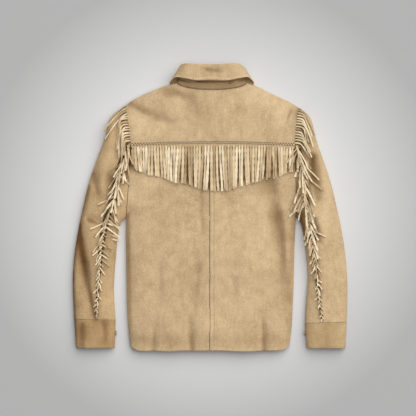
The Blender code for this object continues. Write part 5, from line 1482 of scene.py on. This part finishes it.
def lay_shade_strip(surface):
    """A dark strip of painted shade that shows between the lace stitches."""
    bm = bmesh.new()
    points = []
    for x in np.linspace(*yoke_ends(SHADE_STRIP_INSET), SHADE_STRIP_POINTS):
        y = float(yoke_seam(x)) - LACE_DROP
        near = max(surface.height(x, y + off) for off in (-SHADE_STRIP_REACH, 0, SHADE_STRIP_REACH))
        points.append(Vector((x, y, near + LACE_AIR)))
    strap(bm, points, [LACE_GAP_WIDTH] * len(points), SHADE_STRIP_PLY, [0.0] * len(points))
    return finished("lacing_painted_shade", bm, "shade_strip")


def thread_dash(bm, start, end):
    """One stitch: a short three-sided thread that arches a little over the cloth."""
    across = (end - start).cross(Vector((0, 0, 1))).normalized() * THREAD_RADIUS
    rings = []
    for t, size, lift in THREAD_SECTIONS:
        middle = start.lerp(end, t) + Vector((0, 0, THREAD_RADIUS * lift))
        top = middle + Vector((0, 0, THREAD_RADIUS * size))
        corners = (middle + across * size, middle - across * size, top)
        rings.append([bm.verts.new(corner) for corner in corners])
    bm.faces.new(rings[0])
    bm.faces.new(rings[-1][::-1])
    for low, high in zip(rings, rings[1:]):
        for i in range(3):
            j = (i + 1) % 3
            bm.faces.new((low[j], low[i], high[i], high[j]))


def thread_rows(name, surface, rows, below=False):
    """Rows of stitches along lines in plan, on top of the cloth or under it."""
    bm = bmesh.new()
    for line in rows:
        lengths = lengths_along(line)
        count = int(lengths[-1] / THREAD_STEP)
        for i in range(count):
            ends = []
            for part in (0.0, THREAD_SHARE):
                x, y = at_length(line, lengths, (i + THREAD_START + part) * lengths[-1] / count)
                z = surface.height(x, y, below)
                if z is not None:
                    ends.append(Vector((x, y, z)))
            if len(ends) == 2 and abs(ends[0].z - ends[1].z) < THREAD_JUMP:
                thread_dash(bm, *ends)
    bmesh.ops.recalc_face_normals(bm, faces=bm.faces)
    return finished(name, bm, "thread")


def beside_centre(off, low, high):
    """A straight line at a distance from the middle."""
    y = np.linspace(low, high, STRAIGHT_LINE_POINTS)
    return np.stack([np.full(STRAIGHT_LINE_POINTS, CENTRE_X + off), y], 1)


def body_thread(surface):
    """Beside the centre seam, along the hem, round the neck seam and above the laced seam."""
    low, high = HEM_Y + SEAM_THREAD_ENDS[0], YOKE_END_Y - SEAM_THREAD_ENDS[1]
    rows = [beside_centre(off, low, high) for off in (-SEAM_THREAD_OUT, SEAM_THREAD_OUT)]
    x = np.linspace(*HEM_THREAD_X, CURVED_LINE_POINTS)
    rows.append(np.stack([x, HEM_Y + HEM_THREAD_RISE + hem_wave(x)], 1))
    turn = np.linspace(-NECK_THREAD_TURN, NECK_THREAD_TURN, CURVED_LINE_POINTS)
    x, y = neck_ring(turn)
    outward = np.stack([np.sin(np.radians(turn)), -np.cos(np.radians(turn))], 1)
    rows.append(np.stack([x, y], 1) + outward * NECK_THREAD_OUT)
    x = np.linspace(*yoke_ends(YOKE_THREAD_INSET), CURVED_LINE_POINTS)
    rows.append(np.stack([x, yoke_seam(x) + YOKE_THREAD_RISE], 1))
    return thread_rows("stitches_body", surface, rows)


def arm_thread(side, word, surface):
    """Beside the armhole seam, in three rows by the cuff seam and along the cuff's edge."""
    sleeve, last, end = SLEEVES[side], SLEEVES[side].rows, CUFF_ENDS[side]
    shares = np.linspace(ARMHOLE_THREAD_END, sleeve.yoke_share - ARMHOLE_THREAD_END, ARMHOLE_LINE_POINTS)
    x, y = sleeve.armhole(shares)
    rows = [np.stack([x - side * ARMHOLE_THREAD_IN, y], 1)]
    share = np.linspace(*CUFF_THREAD_SHARES, CUFF_LINE_POINTS)[:, None]
    outer = np.array([sleeve.outer_x(last), sleeve.outer_y(last)])
    inner = np.array([sleeve.inner_x(last), sleeve.inner_y(last)])
    seam = outer + (inner - outer) * share
    edge = np.array([end.outer_x, end.outer_y]) * (1 - share) + np.array([end.inner_x, end.inner_y]) * share
    rows += [seam + (0, off) for off in CUFF_THREAD_OFFS] + [edge + (0, CUFF_EDGE_THREAD_RISE)]
    return thread_rows("stitches_arm_" + word, surface, rows)


def placket_thread(surface):
    """Along both edges of the button band, on the underside."""
    low, high = FRONT_HEM_Y + PLACKET_THREAD_END, NECK_POINT_Y - FRONT_NECK_DROP - PLACKET_THREAD_END
    rows = [beside_centre(off, low, high) for off in (-PLACKET_THREAD_OUT, PLACKET_THREAD_OUT)]
    return thread_rows("stitches_placket", surface, rows, below=True)


def button_body(bm, radius):
    """The turned disc with its raised rim, face up."""
    rings = []
    for share, level in BUTTON_PROFILE:
        turns = 1 if share == 0 else BUTTON_SIDES
        rings.append([bm.verts.new((share * radius * math.cos(2 * math.pi * k / BUTTON_SIDES),
                                    share * radius * math.sin(2 * math.pi * k / BUTTON_SIDES),
                                    (level - 0.5) * BUTTON_DEPTH)) for k in range(turns)])
    for low, high in zip(rings, rings[1:]):
        for k in range(BUTTON_SIDES):
            j = (k + 1) % BUTTON_SIDES
            corners = [low[k % len(low)], low[j % len(low)], high[j % len(high)], high[k % len(high)]]
            bm.faces.new(list(dict.fromkeys(corners)))


def button_holes(bm, radius):
    """The sewn holes, as discs of painted shade in the middle of the face."""
    size = radius * HOLE_RADIUS
    for turn in range(HOLES):
        angle = math.pi / 4 + turn * math.pi / 2
        out = Vector((math.cos(angle), math.sin(angle), 0)) * radius * HOLE_OUT
        made = bmesh.ops.create_cone(bm, cap_ends=True, segments=HOLE_SIDES, radius1=size, radius2=size,
                                     depth=HOLE_DEPTH)
        for vert in made["verts"]:
            vert.co += out + Vector((0, 0, HOLE_LEVEL * BUTTON_DEPTH))
            for face in vert.link_faces:
                face.material_index = 1


def button(name, node, centre, axis, radius):
    """A turned button with a raised rim and four sewn holes, its face along an axis."""
    bm = bmesh.new()
    button_body(bm, radius)
    button_holes(bm, radius)
    bmesh.ops.recalc_face_normals(bm, faces=bm.faces)
    turned = Vector((0, 0, 1)).rotation_difference(Vector(axis)).to_matrix()
    for vert in bm.verts:
        vert.co = turned @ vert.co + Vector(centre)
    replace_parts(finished(name, bm, "button"), node)


def make_buttons():
    """Seven buttons down the front and one at each cuff's inner fold."""
    for i in range(FRONT_BUTTONS):
        place = (CENTRE_X, FRONT_BUTTON_TOP_Y - i * FRONT_BUTTON_STEP, BUTTON_DEPTH / 2)
        name = "front_button_%d" % (i + 1)
        button("turned_" + name, name, place, (0, 0, -1), BUTTON_RADIUS)
    for side, word in SIDE_WORDS:
        sleeve, end = SLEEVES[side], CUFF_ENDS[side]
        seam_x, seam_y = float(sleeve.inner_x(sleeve.rows)), float(sleeve.inner_y(sleeve.rows))
        down = (CUFF_BUTTON_Y - seam_y) / (end.inner_y - seam_y)
        x = seam_x + (end.inner_x - seam_x) * down - side * (CUFF_BUTTON_OUT + BUTTON_DEPTH / 2)
        name = "cuff_button_" + word
        place = (x, CUFF_BUTTON_Y, CUFF_FOLD_HEIGHT)
        button("turned_" + name, name, place, (-side, 0, 0), CUFF_BUTTON_RADIUS)


def node_tools(name):
    """A new material's node tree with its shader, and short ways to add and join nodes."""
    made = bpy.data.materials.new(name)
    made.use_nodes = True
    tree = made.node_tree
    shader = tree.nodes["Principled BSDF"]

    def add(kind, inputs=(), **settings):
        node = tree.nodes.new(kind)
        for key, value in settings.items():
            setattr(node, key, value)
        for key, value in dict(inputs).items():
            if isinstance(value, bpy.types.NodeSocket):
                tree.links.new(value, node.inputs[key])
            else:
                node.inputs[key].default_value = value
        return node

    return made, tree, shader, add


def mixed(add, factor, low, high):
    """A colour between two, or between two colour sockets."""
    node = add("ShaderNodeMix", data_type="RGBA")
    for key, value in ((0, factor), (6, low), (7, high)):
        if isinstance(value, bpy.types.NodeSocket):
            node.id_data.links.new(value, node.inputs[key])
        else:
            node.inputs[key].default_value = (*value, 1.0) if isinstance(value, tuple) else value
    return node.outputs[2]


def stepped(add, value, low, high):
    """A value taken from between low and high to between 0 and 1."""
    node = add("ShaderNodeMapRange", {"Value": value, "From Min": low, "From Max": high})
    return node.outputs["Result"]


def noise(add, place, scale, detail, stretch=(1, 1, 1)):
    """A noise between 0 and 1 on the surface."""
    mapped = add("ShaderNodeMapping", {"Vector": place, "Scale": stretch}).outputs["Vector"]
    inputs = {"Vector": mapped, "Scale": scale, "Detail": detail, "Roughness": NOISE_ROUGHNESS}
    return add("ShaderNodeTexNoise", inputs).outputs["Fac"]


def layer_value(add, place, layer):
    return stepped(add, noise(add, place, layer.scale, layer.detail, layer.stretch), layer.low, layer.high)


def weighted(add, value, weight, rest):
    """A value times a weight, added to the rest."""
    return add("ShaderNodeMath", {0: value, 1: weight, 2: rest}, operation="MULTIPLY_ADD").outputs[0]


def bump(add, place, kind, strength, below=None):
    """A bump of a kind, on top of the one below it."""
    inputs = {"Strength": kind.strength * strength, "Distance": kind.distance,
              "Height": noise(add, place, kind.scale, kind.detail)}
    if below is not None:
        inputs["Normal"] = below
    return add("ShaderNodeBump", inputs).outputs["Normal"]


def suede(name, light, dark, nap=1.0, mottle=1.0):
    """Brushed suede: wide mottling, cloudy patches, rubbed streaks and a short nap, with painted shade and
    painted highlight taken from a mesh attribute.
    """
    made, tree, shader, add = node_tools(name)
    place = add("ShaderNodeTexCoord").outputs["Object"]
    painted_shading = add("ShaderNodeAttribute", attribute_name="painted_shading").outputs["Fac"]
    share = weighted(add, painted_shading, PAINTED_SHADING_WEIGHT, TONE_START)
    for layer in MOTTLES:
        share = weighted(add, layer_value(add, place, layer), layer.weight * mottle, share)
    fine = layer_value(add, place, NAP)
    share = weighted(add, fine, NAP.weight * nap, share)
    plain = mixed(add, share, dark, light)
    # the colour under full painted shade
    shaded_colour = add("ShaderNodeVectorMath", {0: plain, 1: PAINTED_SHADING_TINT}, operation="MULTIPLY").outputs["Vector"]
    tree.links.new(mixed(add, painted_shading, plain, shaded_colour), shader.inputs["Base Color"])
    smoothest, roughest = SUEDE_ROUGHNESS
    rough = add("ShaderNodeMapRange", {"Value": fine, "To Min": smoothest, "To Max": roughest})
    tree.links.new(rough.outputs["Result"], shader.inputs["Roughness"])
    pebbled = bump(add, place, PEBBLE, mottle)
    tree.links.new(bump(add, place, GRAIN, nap, pebbled), shader.inputs["Normal"])
    shader.inputs["Sheen Weight"].default_value = SHEEN
    shader.inputs["Sheen Roughness"].default_value = SHEEN_ROUGHNESS
    shader.inputs["Sheen Tint"].default_value = (*light, 1.0)
    shader.inputs["Specular IOR Level"].default_value = SUEDE_SPECULAR
    return made


def plain_finish(name, light, dark, roughness, scale, grain):
    """Thread, button or shaded edge: two close colours in a fine noise, with a slight bump."""
    made, tree, shader, add = node_tools(name)
    place = add("ShaderNodeTexCoord").outputs["Object"]
    value = noise(add, place, scale, PLAIN_DETAIL)
    tree.links.new(mixed(add, stepped(add, value, *PLAIN_CONTRAST), dark, light), shader.inputs["Base Color"])
    roughest = min(1.0, roughness + PLAIN_ROUGHENING)
    rough = add("ShaderNodeMapRange", {"Value": value, "To Min": roughness, "To Max": roughest})
    tree.links.new(rough.outputs["Result"], shader.inputs["Roughness"])
    grained = add("ShaderNodeBump", {"Strength": grain, "Distance": PLAIN_BUMP, "Height": value})
    tree.links.new(grained.outputs["Normal"], shader.inputs["Normal"])
    return made


def floor_finish():
    """Matte paper with a painted pool of light: painted bright in the middle and darker outwards."""
    made, tree, shader, add = node_tools("paper with painted light falloff")
    place = add("ShaderNodeTexCoord").outputs["Object"]
    away = add("ShaderNodeVectorMath", {0: place}, operation="LENGTH").outputs["Value"]
    fade = add("ShaderNodeMapRange", {"Value": away, "From Min": FLOOR_LIGHT_FALLOFF[0], "From Max": FLOOR_LIGHT_FALLOFF[1]})
    grain = stepped(add, noise(add, place, *FLOOR_GRAIN), -FLOOR_GRAIN_RANGE, FLOOR_GRAIN_RANGE)
    share = add("ShaderNodeMath", {0: fade.outputs["Result"], 1: grain}, operation="ADD")
    share = add("ShaderNodeMath", {0: share.outputs[0], 1: 0.5}, operation="SUBTRACT").outputs[0]
    tree.links.new(mixed(add, share, FLOOR_LIT_CENTRE, FLOOR_SHADED_EDGE), shader.inputs["Base Color"])
    shader.inputs["Roughness"].default_value = FLOOR_ROUGHNESS
    shader.inputs["Specular IOR Level"].default_value = FLOOR_SPECULAR
    return made


FINISHES = {
    "body": [suede("suede body", BODY_LIGHT, BODY_DARK)],
    # the left sleeve and the left cuff wear copies of the suede painted darker as shade
    "sleeve_left": [suede("suede left sleeve, painted shade", SHADED_LEFT_SLEEVE_LIGHT, SHADED_LEFT_SLEEVE_DARK)],
    "cuff": [suede("suede right cuff", CUFF_LIGHT, CUFF_DARK)],
    "cuff_left": [suede("suede left cuff, painted shade", SHADED_LEFT_CUFF_LIGHT, SHADED_LEFT_CUFF_DARK)],
    # painted shade on the stand
    "stand": [suede("suede stand, painted shade", SHADED_STAND_LIGHT, SHADED_STAND_DARK)],
    "fringe": [suede("suede strand %d" % (i + 1), *tones, nap=0.6, mottle=0.8)
               for i, tones in enumerate(STRAND_TONES)],
    "lace": [suede("suede lace", *LACE_COLOURS, nap=0.5, mottle=0.6)],
    # painted shade between the lace stitches
    "shade_strip": [plain_finish("painted shade strip", *PAINTED_SHADE_COLOURS, roughness=0.95, scale=400.0, grain=0.3)],
    "thread": [plain_finish("thread", *THREAD_COLOURS, roughness=0.75, scale=1500.0, grain=0.4)],
    "button": [plain_finish("turned horn", *BUTTON_COLOURS, roughness=0.32, scale=160.0, grain=0.1),
               # the holes are painted shade
               plain_finish("button holes", *PAINTED_SHADE_COLOURS, roughness=0.9, scale=400.0, grain=0.2)],
}
SLOTS = {skin: "fringe_suede" for skin in ("fringe", "lace", "shade_strip", "thread")}
SLOTS["button"] = "button"


def make_side(side, word):
    """The cloth pieces of one side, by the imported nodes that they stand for."""
    floorward = (0, 0, -1)
    # the left sleeve and the left cuff take the copies of the suede with painted shade
    sleeve_skin, cuff_skin = ("sleeve_left", "cuff_left") if side < 0 else ("body", "cuff")
    made = {
        "back_" + word: shell("cloth_back_" + word, back_panel(side)),
        "front_" + word: shell("cloth_front_" + word, front_panel(side), outward=floorward),
    }
    for part, outer_piece in (("top", True), ("under", False)):
        node = "sleeve_%s_%s" % (word, part)
        faces = (side if outer_piece else -side, 0, 0)
        points = sleeve_points(side, outer_piece)
        made[node] = shell("cloth_" + node, points, outward=faces, skin=sleeve_skin)
    cuff = cuff_points(side)
    made["cuff_" + word] = shell("cloth_cuff_" + word, cuff, CUFF_PLY, outward=None, skin=cuff_skin)
    return made


def make_cloth():
    """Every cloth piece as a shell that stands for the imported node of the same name."""
    floorward, collarward = (0, 0, -1), (0, 1, 0)
    made = {}
    for side, word in SIDE_WORDS:
        made.update(make_side(side, word))
    stand, leaf = collar_points(stand_section), collar_points(leaf_section)
    made["back_yoke"] = shell("cloth_back_yoke", yoke_points())
    made["front_band"] = shell("cloth_front_band", placket_points(), BAND_PLY, outward=floorward)
    # the stand's suede is painted darker as shade
    made["collar_stand"] = shell("cloth_collar_stand", stand, STAND_PLY, 0.0, collarward, "stand")
    made["collar_leaf"] = shell("cloth_collar_leaf", leaf, LEAF_PLY, 0.0, collarward)
    for node, obj in made.items():
        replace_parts(obj, node)
    return made


def make_fringe(cloth):
    """All fringe, laid in the order in which it lies on the cloth."""
    rng = np.random.default_rng(SEED)
    surface = Surface(cloth)
    pile = Pile(surface)
    made = {"yoke_fringe": make_yoke_fringe(pile, rng)}
    for side, word in SIDE_WORDS:
        made["sleeve_fringe_" + word] = make_sleeve_fringe(side, word, pile, rng)
        made["armhole_fringe_" + word] = make_armhole_fringe(side, word, pile, rng)
    shade_strip = lay_shade_strip(surface)
    made["yoke_lacing"] = make_lacing(surface)
    for node, obj in made.items():
        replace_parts(obj, node)
    made["shade_strip"] = shade_strip
    return made


def declare_sheets(fringe, threads):
    """Gathers what lies on each sheet of cloth, cut by cut; nothing further is done with it."""
    with_pieces = {
        "back_yoke": [fringe["yoke_fringe"], fringe["yoke_lacing"], fringe["shade_strip"], threads["body"]],
        "front_left": [threads["placket"]],
    }
    for _, word in SIDE_WORDS:
        with_pieces["sleeve_%s_top" % word] = [
            fringe["sleeve_fringe_" + word], fringe["armhole_fringe_" + word], threads[word]]
    for node, cut in CUTS.items():
        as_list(with_pieces.get(node, []))


def area_light(name, place, target, size, power, colour):
    data = bpy.data.lights.new(name, "AREA")
    data.shape = "DISK"
    data.size = size
    data.energy = power
    data.color = colour
    obj = bpy.data.objects.new(name, data)
    obj.location = place
    obj.rotation_euler = (Vector(target) - Vector(place)).to_track_quat("-Z", "Y").to_euler()
    bpy.context.scene.collection.objects.link(obj)


def make_floor():
    bpy.ops.mesh.primitive_plane_add(size=FLOOR_SIZE, location=(0, 0, -FLOOR_DROP))
    floor = bpy.context.object
    floor.name = "floor"
    floor.data.materials.append(floor_finish())


def make_light():
    """A wide key light from the upper right, a soft light above and a pale world."""
    key = bpy.data.lights.new("key", "SUN")
    key.angle = KEY_SPREAD
    key.energy = KEY_STRENGTH
    key.color = KEY_COLOUR
    lamp = bpy.data.objects.new("key", key)
    lamp.rotation_euler = Vector(KEY_FROM).to_track_quat("Z", "Y").to_euler()
    bpy.context.scene.collection.objects.link(lamp)
    area_light("top", TOP_PLACE, (0, 0, 0), TOP_SIZE, TOP_POWER, TOP_COLOUR)
    world = bpy.data.worlds.new("studio")
    world.use_nodes = True
    background = world.node_tree.nodes["Background"]
    background.inputs["Color"].default_value = (*WORLD_COLOUR, 1.0)
    background.inputs["Strength"].default_value = WORLD_STRENGTH
    bpy.context.scene.world = world


def make_camera():
    """The camera looks straight down, as in the photograph."""
    lens = bpy.data.cameras.new("camera")
    lens.sensor_width = SENSOR_WIDTH
    lens.lens = CAMERA_HEIGHT * lens.sensor_width / VIEW_WIDTH
    camera = bpy.data.objects.new("camera", lens)
    camera.location = (*VIEW_CENTRE, CAMERA_HEIGHT)
    bpy.context.scene.collection.objects.link(camera)
    bpy.context.scene.camera = camera
    bpy.context.scene.view_settings.view_transform = "Standard"


def main():
    make_floor()
    make_light()
    make_camera()
    cloth = make_cloth()
    tops = Surface(cloth.values())
    fringe = make_fringe([cloth[node] for node in cloth if not node.startswith(("front", "collar"))])
    threads = {"body": body_thread(tops), "placket": placket_thread(tops)}
    for side, word in SIDE_WORDS:
        threads[word] = arm_thread(side, word, tops)
    make_buttons()
    declare_sheets(fringe, threads)


main()
